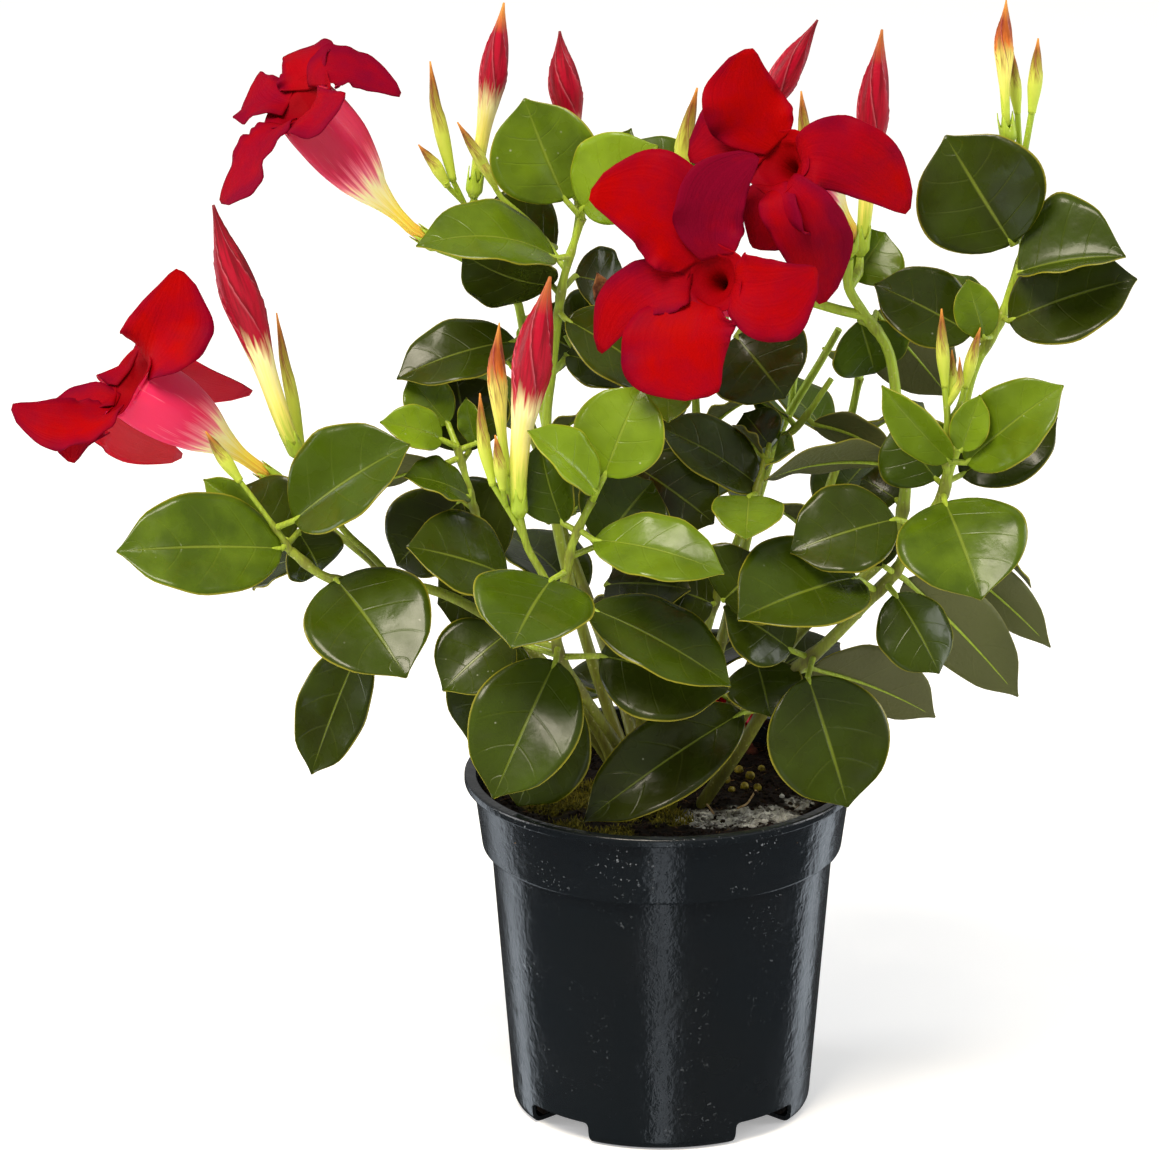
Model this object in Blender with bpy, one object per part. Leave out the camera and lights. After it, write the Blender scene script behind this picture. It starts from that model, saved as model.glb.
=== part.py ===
"""A potted mandevilla: leafy shoots, trumpet blooms and twisted buds in a black nursery pot.

Every shoot, bloom and large bud is planned from the photograph. A planned point is a pixel column and row
of the 1160 pixel picture with a depth in mm behind the pot's axis, and photo_point turns it into metres.
Every width, radius and thickness is a real size in mm.
"""
import itertools
import math
from collections import namedtuple

import bmesh
import bpy
from mathutils import Matrix, Vector
from mathutils.bvhtree import BVHTree

MM = 0.001
TOUCH_GAP = 0.3
CREASE_ANGLE = math.radians(35.0)

# How the photograph sees the plant
PIXELS_PER_MM = 3.06
AXIS_COLUMN = 662.5
FOOT_ROW = 1104
VIEW_ELEVATION = math.radians(19.3)

# Pot, sizes in mm
POT_HEIGHT = 115.0
LIP_RADIUS = 65.0
LIP_HEIGHT = 3.2
BAND_TOP_RADIUS = 62.0
BAND_BOTTOM_RADIUS = 59.0
BAND_FLOOR = 90.0
BODY_TOP_RADIUS = 56.2
FOOT_RADIUS = 48.7
FOOT_ROUNDING = 4.0
FOOT_CHAMFER = 1.2
INNER_FOOT_ROUNDING = 2.4
LIP_ROUNDING = 0.6
POT_WALL = 1.5
POT_SIDES = 40
DRAIN_SLOTS = 4
DRAIN_WIDTH = 26.0
DRAIN_HEIGHT = 7.5
DRAIN_DEPTH = 14.0
DRAIN_FIRST_ANGLE = math.radians(45.0)

# Soil, sizes in mm
SOIL_LEVEL = 104.0
SOIL_SIDES = 24
SOIL_RINGS = (1.0, 0.72, 0.42)
SOIL_RELIEF = 1.2
SOIL_WAVES = ((1.0, 3, 5), (0.6, 5, -9))
HOLE_DEPTH = 13.0
HOLE_SIDES = 8

# Stems, sizes in mm
STEM_SIDES = 5
STEM_STEP = 14.0
FRAME_STEP = 0.03
PETIOLE_RADIUS = 1.0
CALYX_LENGTH = 5.5
CALYX_RADIUS = 2.7
CALYX_FOOT_RADIUS = 1.3
CALYX_TOP_RADIUS = 2.43
GROUND_RISE = 2.5

# Leaf blades, sizes in mm
BLADE_THICKNESS = 1.4
BLADE_ROWS = (0.07, 0.3, 0.65, 0.88)
BLADE_SKEW = 0.9
BLADE_FULLNESS = 0.6
CLEARANCE = 0.5
SLIVER = 0.001

# Blooms, sizes in mm
PETALS_OF_A_BLOOM = 5
PETAL_THICKNESS = 0.8
PETAL_COLUMNS = (-1.0, -0.45, 0.25, 1.0)
PETAL_ROWS = (0.0, 0.28, 0.6, 0.87)
PETAL_ROOT_TURN = math.radians(10.0)
PETAL_ROOT_SHARE = 0.86
PETAL_SINK = 0.6
PETAL_OUTWARD = 0.8
PETAL_FORWARD = 0.6
PETAL_FLARE = 0.42
PETAL_SWING = 0.2
PETAL_LEAST_FLARE = 0.5
PETAL_TWIST = 0.16
PETAL_CUP = 0.25
PETAL_SIDE_TURN = 1.5
PETAL_LEAN_SHARE = 0.3
PETAL_LEAN_FULLNESS = 0.65
PETAL_FULL_FULLNESS = 0.6
PETAL_FULL_SKEW = 1.7
FALLEN_ROOT_RADIUS = 6.0
FUNNEL_SIDES = 8
FUNNEL_WALL = 0.9
FUNNEL_PROFILE = ((0.0, 0.20), (0.22, 0.21), (0.38, 0.34), (0.58, 0.66), (0.80, 0.90), (1.0, 1.0))
FUNNEL_FLOOR = 0.33
BUD_SIDES = 6
BUD_PROFILE = ((0.0, 0.40), (0.14, 0.46), (0.31, 0.54), (0.47, 0.82), (0.62, 1.0), (0.76, 0.78), (0.89, 0.36),
               (1.0, 0.08))
SMALL_BUD_PROFILE = ((0.0, 0.55), (0.4, 1.0), (0.72, 0.66), (1.0, 0.12))

Twig = namedtuple("Twig", "start_radius end_radius points")
Leaf = namedtuple("Leaf", "base tip width facing fold arch")
Bud = namedtuple("Bud", "width points")
Shoot = namedtuple("Shoot", "twigs leaves small_buds")
Petal = namedtuple("Petal", "tip width facing full_side")
Bloom = namedtuple("Bloom", "tube throat_radius petals")
SHOOTS = {
    "left": Shoot(
        twigs=[
            Twig(2.1, 1.4, [(624, 806, -8), (604, 742, -12), (562, 682, -18), (505, 628, -24),
                            (440, 592, -28), (385, 584, -28), (330, 578, -26), (293, 551, -24)]),
            Twig(1.2, 1.1, [(400, 586, -26), (375, 558, -22), (345, 530, -14), (318, 490, -10),
                            (304, 464, -10), (301, 457, -10)]),
            Twig(1.2, 1.1, [(400, 586, -24), (372, 562, -14), (340, 536, -2), (305, 508, 2),
                            (283, 486, 2)]),
            Twig(1.1, 1.0, [(293, 551, -24), (270, 532, -22), (250, 519, -20)]),
            Twig(1.0, 0.9, [(318, 490, -10), (309, 470, -4), (303, 452, -2)]),
            Twig(0.9, 0.8, [(293, 551, -24), (268, 515, -26), (242, 480, -26)]),
        ],
        leaves=[
            Leaf((284, 549, -26), (121, 552, -40), 37, (0, -7, 6), 12, 0.05),
            Leaf((262, 518, -20), (206, 480, -16), 13, (-4, -6, 5), 30, 0.05),
            Leaf((290, 541, -12), (250, 495, 6), 30, (-2, -7, 4), 10, 0.1),
            Leaf((300, 532, -16), (320, 572, -4), 22, (2, -8, 2), 10, 0.1),
            Leaf((305, 560, -12), (256, 583, 6), 20, (0, -5, 7), 8, 0.1),
            Leaf((297, 521, -28), (413, 446, -34), 38, (-4, -7, 6), 22, 0.06),
            Leaf((338, 580, -30), (409, 677, -62), 43, (0, -6, 6), 10, 0.08),
            Leaf((364, 640, -14), (311, 775, -16), 25, (-3, -8, 1), 14, 0.06),
        ],
        small_buds=[
            Bud(4.4, [(303, 454, -2), (294, 400, -2), (286, 360, -2), (279, 315, -2)]),
            Bud(4.6, [(243, 482, -26), (226, 458, -26), (210, 433, -27)]),
        ]),
    "left_inner": Shoot(
        twigs=[
            Twig(2.0, 1.0, [(632, 806, -2), (600, 748, -4), (545, 672, -8), (508, 600, -12),
                            (484, 540, -16), (473, 502, -17), (465, 472, -17), (458, 448, -17)]),
        ],
        leaves=[
            Leaf((443, 441, -20), (382, 424, -28), 16, (0, -7, 6), 18, 0.1),
            Leaf((449, 425, -12), (410, 378, -6), 17, (-2, -7, 5), 14, 0.08),
            Leaf((440, 467, -20), (329, 516, -22), 32, (0, 5, 7), 14, 0.08),
            Leaf((470, 498, -24), (406, 478, -34), 20, (0, -4, 8), 16, 0.08),
            Leaf((470, 452, -8), (456, 374, 2), 32, (0, -8, 3), 10, 0.08),
            Leaf((477, 444, -14), (467, 399, -14), 9, (-2, -8, 2), 20, 0.05),
            Leaf((462, 500, -6), (397, 566, 2), 30, (-4, -7, 1), 14, 0.08),
            Leaf((508, 576, -30), (408, 547, -42), 34, (0, -6, 8), 14, 0.05),
            Leaf((494, 586, -14), (438, 604, -12), 28, (0, -8, 4), 8, 0.05),
            Leaf((500, 560, -6), (436, 486, 4), 36, (0, -8, 4), 10, 0.08),
        ],
        small_buds=[]),
    "upper_left": Shoot(
        twigs=[
            Twig(2.2, 1.2, [(640, 804, 6), (612, 720, 8), (580, 620, 6), (556, 520, 4), (547, 430, 2),
                            (552, 375, 0), (557, 330, -2), (563, 285, -4), (576, 240, -4),
                            (582, 222, -4)]),
            Twig(1.6, 1.3, [(547, 430, 2), (537, 380, 8), (523, 325, 10), (516, 300, 10), (497, 284, 6),
                            (466, 262, 2), (440, 252, -2)]),
            Twig(1.4, 1.2, [(516, 300, 10), (503, 262, 15), (484, 236, 15), (470, 218, 14),
                            (475, 203, 12), (474, 199, 12)]),
            Twig(1.0, 0.9, [(470, 218, 14), (462, 200, 12), (454, 184, 10)]),
            Twig(1.0, 0.9, [(554, 262, 4), (536, 232, 6), (516, 213, 8), (502, 201, 8), (492, 184, 8)]),
            Twig(1.2, 1.0, [(552, 375, 0), (566, 360, 8), (580, 346, 12)]),
            Twig(0.9, 0.8, [(462, 205, 13), (449, 190, 8), (447, 186, 7)]),
            Twig(1.3, 1.3, [(576, 240, -4), (579, 220, 6), (579, 203, 9)]),
        ],
        leaves=[
            Leaf((556, 262, -10), (418, 252, -26), 30, (0, -4, 8), 12, 0.14),
            Leaf((556, 250, 10), (478, 222, 20), 32, (0, -7, 5), 10, 0.08),
            Leaf((552, 287, 4), (450, 252, 2), 30, (0, -6, -4), 8, 0.08),
            Leaf((566, 205, -6), (525, 105, -4), 37, (-2, -8, 3), 12, 0.06),
            Leaf((582, 214, -14), (657, 153, -20), 31, (-3, -8, 4), 16, 0.1),
            Leaf((596, 205, 10), (631, 132, 16), 15, (2, -6, 5), 14, 0.08),
            Leaf((575, 278, 8), (625, 292, 20), 24, (0, -7, 5), 10, 0.08),
            Leaf((566, 322, -8), (668, 392, -14), 28, (2, -6, 7), 12, 0.06),
            Leaf((516, 343, 0), (398, 381, -12), 25, (0, -5, 7), 12, 0.08),
            Leaf((527, 325, 18), (578, 352, 24), 26, (0, -8, 4), 10, 0.06),
            Leaf((566, 338, 10), (622, 308, 22), 24, (0, -7, 5), 10, 0.08),
            Leaf((566, 356, 8), (632, 380, 12), 20, (0, -6, 6), 10, 0.08),
        ],
        small_buds=[
            Bud(4.8, [(454, 184, 10), (446, 150, 10), (437, 110, 9), (432, 68, 8)]),
            Bud(4.2, [(449, 190, 8), (436, 168, 8), (420, 149, 8)]),
            Bud(4.2, [(493, 186, 8), (478, 158, 3), (459, 128, 1)]),
            Bud(3.2, [(497, 193, 8), (486, 172, 4), (474, 149, 3)]),
        ]),
    "front": Shoot(
        twigs=[
            Twig(2.2, 1.2, [(652, 808, -14), (622, 752, -26), (582, 692, -38), (558, 648, -46),
                            (560, 605, -52), (568, 566, -56), (572, 546, -57), (582, 522, -57),
                            (592, 502, -57)]),
            Twig(1.3, 1.2, [(560, 605, -52), (543, 574, -54), (528, 547, -56), (521, 517, -57)]),
            Twig(1.0, 0.9, [(532, 554, -56), (516, 522, -57), (494, 486, -57)]),
            Twig(1.1, 1.0, [(528, 548, -54), (518, 520, -49), (512, 493, -48)]),
            Twig(0.9, 0.9, [(508, 508, -57), (504, 490, -61)]),
        ],
        leaves=[
            Leaf((552, 580, -62), (513, 647, -92), 41, (0, -5, 8), 10, 0.08),
            Leaf((556, 660, -54), (494, 796, -76), 37, (-1, -8, 3), 10, 0.06),
            Leaf((565, 690, -36), (518, 806, -36), 36, (-2, -8, 3), 8, 0.05),
            Leaf((600, 655, -50), (728, 690, -60), 38, (1, -8, 5), 14, 0.08),
            Leaf((590, 608, -56), (729, 685, -72), 31, (2, -5, 8), 10, 0.05),
            Leaf((594, 541, -62), (722, 574, -78), 26, (0, -6, 8), 12, 0.08),
            Leaf((604, 478, -54), (641, 389, -46), 31, (-2, -8, 3), 10, 0.06),
            Leaf((595, 494, -62), (528, 434, -66), 22, (2, -5, 8), 24, 0.06),
            Leaf((563, 524, -54), (541, 444, -48), 24, (-4, -8, 1), 24, 0.06),
            Leaf((600, 545, -44), (652, 482, -36), 34, (0, -8, 4), 10, 0.06),
            Leaf((518, 642, -32), (470, 742, -38), 31, (-2, -8, 2), 10, 0.06),
            Leaf((508, 633, -40), (444, 690, -52), 29, (-2, -7, 5), 14, 0.06),
        ],
        small_buds=[
            Bud(4.4, [(494, 487, -57), (486, 450, -57), (483, 420, -57), (482, 397, -57)]),
            Bud(4.2, [(504, 492, -61), (501, 465, -62), (497, 438, -62)]),
        ]),
    "centre": Shoot(
        twigs=[
            Twig(2.0, 1.1, [(650, 802, 0), (642, 730, -6), (628, 640, -14), (616, 560, -18),
                            (616, 500, -20), (628, 456, -20), (650, 412, -18), (664, 380, -16)]),
        ],
        leaves=[
            Leaf((667, 384, -22), (667, 425, -36), 16, (0, -7, 5), 12, 0.06),
            Leaf((636, 468, -28), (712, 524, -38), 31, (0, -7, 6), 10, 0.06),
            Leaf((606, 585, -26), (690, 590, -36), 34, (0, -5, 8), 10, 0.06),
            Leaf((640, 430, -14), (690, 432, -10), 22, (0, -6, 6), 10, 0.06),
        ],
        small_buds=[]),
    "middle": Shoot(
        twigs=[
            Twig(2.0, 1.1, [(672, 806, -8), (680, 740, -16), (696, 668, -24), (716, 596, -28),
                            (738, 535, -28), (754, 494, -26), (764, 462, -20)]),
        ],
        leaves=[
            Leaf((747, 498, -36), (743, 541, -58), 24, (0, -6, 8), 12, 0.06),
            Leaf((758, 488, -22), (654, 441, -30), 27, (0, -5, 8), 12, 0.06),
            Leaf((712, 604, -30), (668, 584, -32), 26, (0, -6, 7), 10, 0.06),
            Leaf((768, 446, -8), (743, 414, -2), 18, (0, -7, 5), 10, 0.06),
            Leaf((760, 456, -16), (729, 430, -16), 11, (0, 3, 8), 10, 0.06),
            Leaf((772, 462, -24), (792, 452, -34), 16, (0, -5, 6), 20, 0.06),
            Leaf((722, 600, -40), (765, 560, -46), 32, (0, -8, 4), 10, 0.06),
        ],
        small_buds=[]),
    "right": Shoot(
        twigs=[
            Twig(2.4, 1.3, [(704, 806, -6), (738, 752, -14), (782, 682, -24), (824, 644, -28),
                            (862, 605, -28), (893, 572, -26), (906, 548, -24), (925, 520, -24),
                            (940, 495, -24), (944, 476, -24), (956, 440, -20), (962, 402, -16),
                            (973, 365, -14), (995, 325, -12), (1007, 290, -10), (1018, 251, -10),
                            (1015, 205, -10), (1013, 184, -10)]),
            Twig(1.2, 1.2, [(944, 476, -24), (940, 450, -28), (943, 425, -30), (940, 388, -30)]),
            Twig(1.2, 1.1, [(1013, 186, -10), (1008, 168, -12), (1003, 150, -12)]),
            Twig(1.1, 1.0, [(1018, 235, -10), (1016, 185, -5), (1013, 148, -5), (1011, 118, -5)]),
            Twig(1.1, 1.1, [(1014, 192, -10), (1018, 160, -10), (1025, 118, -10)]),
            Twig(1.0, 1.0, [(943, 425, -30), (954, 410, -26), (961, 388, -24)]),
        ],
        leaves=[
            Leaf((806, 676, -42), (846, 806, -52), 41, (1, -8, 3), 8, 0.05),
            Leaf((812, 668, -14), (937, 718, -2), 31, (-1, 7, 4), 10, 0.06),
            Leaf((756, 662, -24), (770, 718, -34), 26, (1, -8, 4), 10, 0.06),
            Leaf((790, 650, -32), (722, 606, -34), 27, (0, -7, 6), 12, 0.06),
            Leaf((855, 578, -36), (711, 628, -54), 43, (0, -5, 8), 18, 0.05),
            Leaf((892, 520, -34), (787, 553, -44), 33, (-1, -7, 6), 14, 0.06),
            Leaf((881, 566, -32), (872, 532, -26), 15, (-1, -8, 2), 14, 0.06),
            Leaf((892, 594, -34), (936, 673, -44), 27, (3, -7, 4), -12, 0.06),
            Leaf((904, 580, -20), (1018, 697, -18), 27, (-3, 7, 4), 12, 0.08),
            Leaf((925, 545, -8), (1052, 648, 0), 20, (-3, 7, 5), 12, 0.08),
            Leaf((935, 515, -8), (1032, 588, 6), 22, (7, 2, 6), 10, 0.06),
            Leaf((941, 503, -32), (975, 600, -62), 44, (0, -6, 7), 10, 0.07),
            Leaf((946, 462, -30), (877, 388, -36), 17, (-4, -6, 4), 28, 0.06),
            Leaf((934, 480, -18), (893, 424, -12), 28, (-2, -8, 3), 10, 0.06),
            Leaf((962, 464, -28), (1057, 388, -34), 27, (-2, -8, 5), 14, 0.06),
            Leaf((958, 476, -14), (1055, 418, -4), 27, (1, -7, 5), 10, 0.06),
            Leaf((957, 452, -30), (975, 397, -30), 14, (0, -8, 3), 24, 0.06),
            Leaf((1006, 249, -16), (938, 140, -8), 44, (-2, -8, 4), 6, 0.05),
            Leaf((1012, 277, -18), (1118, 262, -24), 46, (0, -4, 8), 38, 0.06),
            Leaf((1004, 324, -16), (1130, 283, -20), 34, (0, -7, 6), 14, 0.07),
            Leaf((968, 336, -8), (871, 287, -4), 27, (0, -7, 5), 12, 0.07),
            Leaf((979, 340, -22), (962, 283, -22), 15, (-1, -8, 3), 12, 0.06),
            Leaf((988, 318, -4), (922, 283, 10), 16, (0, -4, 8), 10, 0.06),
            Leaf((742, 712, -28), (583, 821, -47), 29, (0, -7, 5), 12, 0.08),
        ],
        small_buds=[
            Bud(4.2, [(1011, 120, -5), (1008, 90, -5), (1006, 60, -5)]),
            Bud(4.8, [(1025, 120, -10), (1028, 85, -10), (1030, 48, -10)]),
            Bud(4.4, [(940, 390, -30), (937, 350, -30), (936, 313, -30)]),
            Bud(3.4, [(943, 400, -28), (948, 378, -26), (947, 353, -26)]),
            Bud(4.2, [(961, 390, -24), (967, 360, -24), (975, 331, -24)]),
            Bud(2.8, [(948, 410, -30), (955, 385, -32), (954, 360, -32)]),
        ]),
    "right_inner": Shoot(
        twigs=[
            Twig(2.4, 1.6, [(692, 800, 10), (742, 718, 10), (798, 634, 6), (852, 588, 2), (892, 545, 0),
                            (905, 482, 0), (898, 428, 0), (887, 355, -2), (863, 318, -4),
                            (846, 290, -5), (846, 262, -6)]),
            Twig(1.7, 1.6, [(863, 318, -4), (835, 312, -6), (807, 304, -8)]),
            Twig(1.4, 1.3, [(846, 292, -5), (856, 275, 2), (858, 260, 6)]),
        ],
        leaves=[
            Leaf((874, 314, 6), (948, 397, 12), 28, (-3, 7, 4), 10, 0.06),
            Leaf((852, 282, 6), (884, 234, 12), 26, (0, -8, 4), 10, 0.06),
            Leaf((858, 322, 6), (874, 374, 12), 28, (1, -8, 3), 16, 0.06),
            Leaf((888, 464, -6), (762, 482, -28), 26, (0, 6, 6), 10, 0.07),
            Leaf((897, 500, 8), (862, 478, 14), 22, (0, -7, 5), 10, 0.06),
            Leaf((846, 594, 12), (842, 628, 20), 14, (2, 7, 4), 10, 0.06),
        ],
        small_buds=[]),
    "centre_back": Shoot(
        twigs=[
            Twig(2.2, 1.2, [(676, 798, 16), (700, 720, 20), (728, 620, 20), (752, 520, 18),
                            (774, 448, 16), (790, 412, 16), (820, 362, 16), (838, 330, 14)]),
            Twig(1.6, 1.1, [(774, 448, 16), (766, 380, 22), (744, 300, 26), (718, 240, 22),
                            (697, 212, 18), (684, 196, 16)]),
            Twig(1.3, 1.3, [(718, 240, 22), (717, 210, 26), (716, 184, 26)]),
            Twig(1.2, 0.9, [(790, 412, 16), (800, 330, 24), (808, 250, 22), (806, 186, 18)]),
            Twig(1.2, 1.0, [(774, 448, 10), (801, 422, 4), (830, 380, 2)]),
            Twig(1.0, 0.9, [(697, 212, 18), (703, 200, 18), (706, 190, 18)]),
        ],
        leaves=[
            Leaf((735, 338, 4), (784, 400, -8), 36, (0, -7, 5), 10, 0.06),
            Leaf((788, 418, 8), (706, 384, 2), 18, (0, 0, 9), 10, 0.06),
            Leaf((694, 206, 24), (633, 142, 30), 22, (0, -5, 7), 12, 0.08),
            Leaf((770, 452, 6), (756, 396, 8), 18, (4, -6, 3), 24, 0.06),
            Leaf((812, 424, 2), (893, 462, -2), 18, (0, 7, 5), 10, 0.1),
            Leaf((690, 212, 28), (676, 170, 34), 18, (0, -7, 4), 12, 0.08),
        ],
        small_buds=[
            Bud(5.8, [(682, 194, 16), (682, 150, 16), (690, 118, 15), (696, 93, 14)]),
            Bud(5.4, [(706, 192, 18), (708, 160, 18), (710, 125, 18)]),
            Bud(3.0, [(692, 205, 17), (698, 178, 14), (702, 154, 12)]),
            Bud(5.0, [(806, 188, 18), (804, 150, 17), (799, 96, 15)]),
        ]),
}

# Large buds: the shoot each one grows on, and its points from calyx to tip
LARGE_BUDS = {
    "bud_left": ("left", Bud(13.0, [(301, 458, -10), (286, 425, -12), (268, 370, -14), (247, 305, -14),
                                    (230, 255, -16), (219, 211, -18)])),
    "bud_top_left": ("upper_left", Bud(9.2, [(474, 200, 12), (480, 160, 12), (489, 110, 10), (496, 70, 9),
                                             (505, 11, 8)])),
    "bud_top_centre": ("upper_left", Bud(10.8, [(579, 204, 9), (574, 160, 11), (568, 110, 12), (562, 70, 12),
                                                (560, 38, 12)])),
    "bud_top_slanted": ("centre_back", Bud(9.8, [(716, 184, 26), (738, 148, 26), (764, 110, 24),
                                                 (790, 68, 22), (815, 26, 20)])),
    "bud_top_right": ("right_inner", Bud(10.6, [(858, 258, 6), (863, 215, 8), (866, 165, 8), (870, 110, 8),
                                                (878, 37, 8)])),
    "bud_right_young": ("right", Bud(6.3, [(1003, 150, -12), (999, 125, -12), (997, 90, -12), (996, 50, -12),
                                           (998, 11, -12)])),
    "bud_front_young": ("front", Bud(6.4, [(512, 494, -48), (504, 445, -48), (500, 405, -48), (498, 365, -49),
                                           (501, 328, -50)])),
    "bud_front": ("front", Bud(13.0, [(521, 518, -57), (519, 480, -57), (522, 440, -58), (528, 400, -58),
                                      (537, 345, -58), (551, 284, -58)])),
}

# Blooms: the shoot each one grows on, its tube from calyx to throat, and its five petals
BLOOMS = {
    "bloom_centre": ("right_inner", Bloom(
        tube=[(806, 304, -8), (778, 305, -14), (738, 296, -28), (709, 286, -46)],
        throat_radius=9.5,
        petals=[
            Petal((595, 208, -44), 31, (-1, -8, 3), -1),
            Petal((750, 172, -44), 21, (2, -8, 4), 1),
            Petal((805, 278, -54), 26, (1, -8, 3), -1),
            Petal((711, 391, -60), 35, (0, -8, 4), -1),
            Petal((604, 352, -42), 17, (-2, -8, 2), -1),
        ])),
    "bloom_right": ("right_inner", Bloom(
        tube=[(847, 258, -6), (848, 230, -9), (828, 204, -15), (802, 186, -22), (777, 172, -32)],
        throat_radius=9.0,
        petals=[
            Petal((748, 66, -26), 25, (0, -8, 3), 1),
            Petal((896, 217, -34), 23, (1, -8, 2), 1),
            Petal((815, 304, -34), 23, (1, -8, 3), 1),
            Petal((752, 250, -32), 23, (0, -8, 3), 1),
            Petal((694, 166, -20), 23, (-2, -8, 3), -1),
        ])),
    "bloom_left": ("left", Bloom(
        tube=[(283, 485, 2), (255, 465, 0), (226, 444, -3), (185, 416, -7), (134, 386, -11)],
        throat_radius=11.0,
        petals=[
            Petal((180, 279, -12), 25, (-1, -8, 1), -1),
            Petal((24, 408, -18), 19, (-4, -6, 5), 1),
            Petal((78, 457, -14), 20, (-3, -8, 0), -1),
            Petal((178, 452, 20), 16, (-8, 3, -2), 1),
            Petal((247, 390, 24), 21, (1, -8, -2), 1),
        ])),
    "bloom_top_left": ("upper_left", Bloom(
        tube=[(441, 251, -2), (412, 231, -4), (372, 192, -7), (338, 148, -10), (306, 112, -13)],
        throat_radius=10.5,
        petals=[
            Petal((229, 202, -22), 20, (-6, -6, 5), 1),
            Petal((346, 107, -40), 17, (-3, -5, 7), -1),
            Petal((397, 101, -8), 16, (2, -3, 8), 1),
            Petal((290, 63, 14), 18, (-5, 2, 6), -1),
            Petal((265, 82, 12), 18, (-6, 3, 4), 1),
        ])),
}

FALLEN_PETAL = Petal((757, 727, 49), 22, (0, -8, 4), 1)
FALLEN_PETAL_ROOT = (774, 700, 40)
FALLEN_PETAL_AXIS = (0.0, -0.4, 1.0)

# Shoots at the back, which the photograph hides, in the same notation
BACK_TWIGS = {
    "back_left": [Twig(2.2, 1.2, [(644, 784, 18), (620, 690, 32), (588, 600, 48), (556, 510, 58),
                                  (532, 430, 62), (520, 372, 62)])],
    "back_middle": [Twig(2.2, 1.2, [(668, 772, 28), (672, 690, 46), (684, 600, 62), (694, 510, 70),
                                    (698, 420, 72), (694, 360, 70)])],
    "back_right": [Twig(2.2, 1.2, [(704, 780, 20), (742, 690, 36), (786, 600, 50), (824, 510, 58),
                                   (850, 430, 60), (862, 376, 58)])],
}
PAIR_PLACES = (0.28, 0.47, 0.66, 0.84, 1.0)
PAIR_BLADES = ((36, 27), (41, 31), (38, 29), (31, 24), (21, 14))
PAIR_FIRST_TURN = math.radians(35.0)
PAIR_TURN = math.radians(97.0)
PAIR_STALK = 7.0
PAIR_RISE = 0.22
PAIR_RISE_STEP = 0.12
PAIR_LEAN = 0.3
PAIR_FOLD = 12
PAIR_ARCH = 0.08

# How a leaf may be bent about its foot to come clear: tilt away, roll and turn, in degrees
BEND_TILTS = (0, 7, -7, 14, -14, 21, -21, 30, -30, 40, -40, 52, -52)
BEND_ROLLS = (0, 16, -16, 34, -34)
BEND_TURNS = (0, 6, -6, 13, -13)
BEND_ROLL_COST = 0.8
BEND_TURN_COST = 2.4
LEAST_HINGE = 0.1


def photo_point(place):
    """The point at a pixel column and row of the photograph, at a depth in mm behind the pot's axis."""
    column, row, depth = place
    across = (column - AXIS_COLUMN) / PIXELS_PER_MM
    up = (FOOT_ROW - row) / PIXELS_PER_MM
    height = (up - depth * math.sin(VIEW_ELEVATION)) / math.cos(VIEW_ELEVATION)
    return Vector((across, depth, height)) * MM


def clear_scene():
    """Remove the objects that the file opens with."""
    for thing in list(bpy.data.objects):
        bpy.data.objects.remove(thing, do_unlink=True)


def principled(name, colour, roughness, metallic=0.0):
    """A plain Principled material."""
    material = bpy.data.materials.new(name)
    material.use_nodes = True
    shader = material.node_tree.nodes["Principled BSDF"]
    shader.inputs["Base Color"].default_value = (*colour, 1.0)
    shader.inputs["Roughness"].default_value = roughness
    shader.inputs["Metallic"].default_value = metallic
    return material


def mesh_object(name, points, faces, collection=None):
    """A closed mesh object with its faces turned outward."""
    mesh = bpy.data.meshes.new(name)
    mesh.from_pydata([tuple(point) for point in points], [], faces)
    shell = bmesh.new()
    shell.from_mesh(mesh)
    bmesh.ops.recalc_face_normals(shell, faces=shell.faces)
    shell.to_mesh(mesh)
    shell.free()
    thing = bpy.data.objects.new(name, mesh)
    (collection or bpy.context.scene.collection).objects.link(thing)
    return thing


def lathe(profile, sides):
    """Points and faces of a profile of (radius, height) turned about Z, with both its ends on the axis."""
    points = []
    rings = []
    for radius, height in profile:
        if radius == 0.0:
            rings.append([len(points)])
            points.append(Vector((0.0, 0.0, height)) * MM)
            continue
        ring = []
        for side in range(sides):
            angle = math.tau * side / sides
            ring.append(len(points))
            points.append(Vector((radius * math.cos(angle), radius * math.sin(angle), height)) * MM)
        rings.append(ring)
    return points, ring_faces(rings)


def ring_faces(rings):
    """Faces between rings of point numbers, where a ring of one point closes an end."""
    faces = []
    for first, second in zip(rings, rings[1:]):
        count = max(len(first), len(second))
        for side in range(count):
            after = (side + 1) % count
            if len(first) == 1:
                faces.append((first[0], second[after], second[side]))
            elif len(second) == 1:
                faces.append((first[side], first[after], second[0]))
            else:
                faces.append((first[side], first[after], second[after], second[side]))
    if len(rings[0]) > 1:
        faces.append(tuple(reversed(rings[0])))
    if len(rings[-1]) > 1:
        faces.append(tuple(rings[-1]))
    return faces


def smooth_path(points, step):
    """Points about a step in mm apart on a smooth curve through the given points."""
    padded = [points[0] * 2 - points[1], *points, points[-1] * 2 - points[-2]]
    path = []
    for before, start, end, after in zip(padded, padded[1:], padded[2:], padded[3:]):
        count = max(1, round((end - start).length / (step * MM)))
        for number in range(count):
            t = number / count
            slope = (end - before) * t
            bow = (2 * before - 5 * start + 4 * end - after) * t ** 2
            swing = (3 * start - before - 3 * end + after) * t ** 3
            path.append(0.5 * (2 * start + slope + bow + swing))
    path.append(points[-1].copy())
    return path


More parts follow.
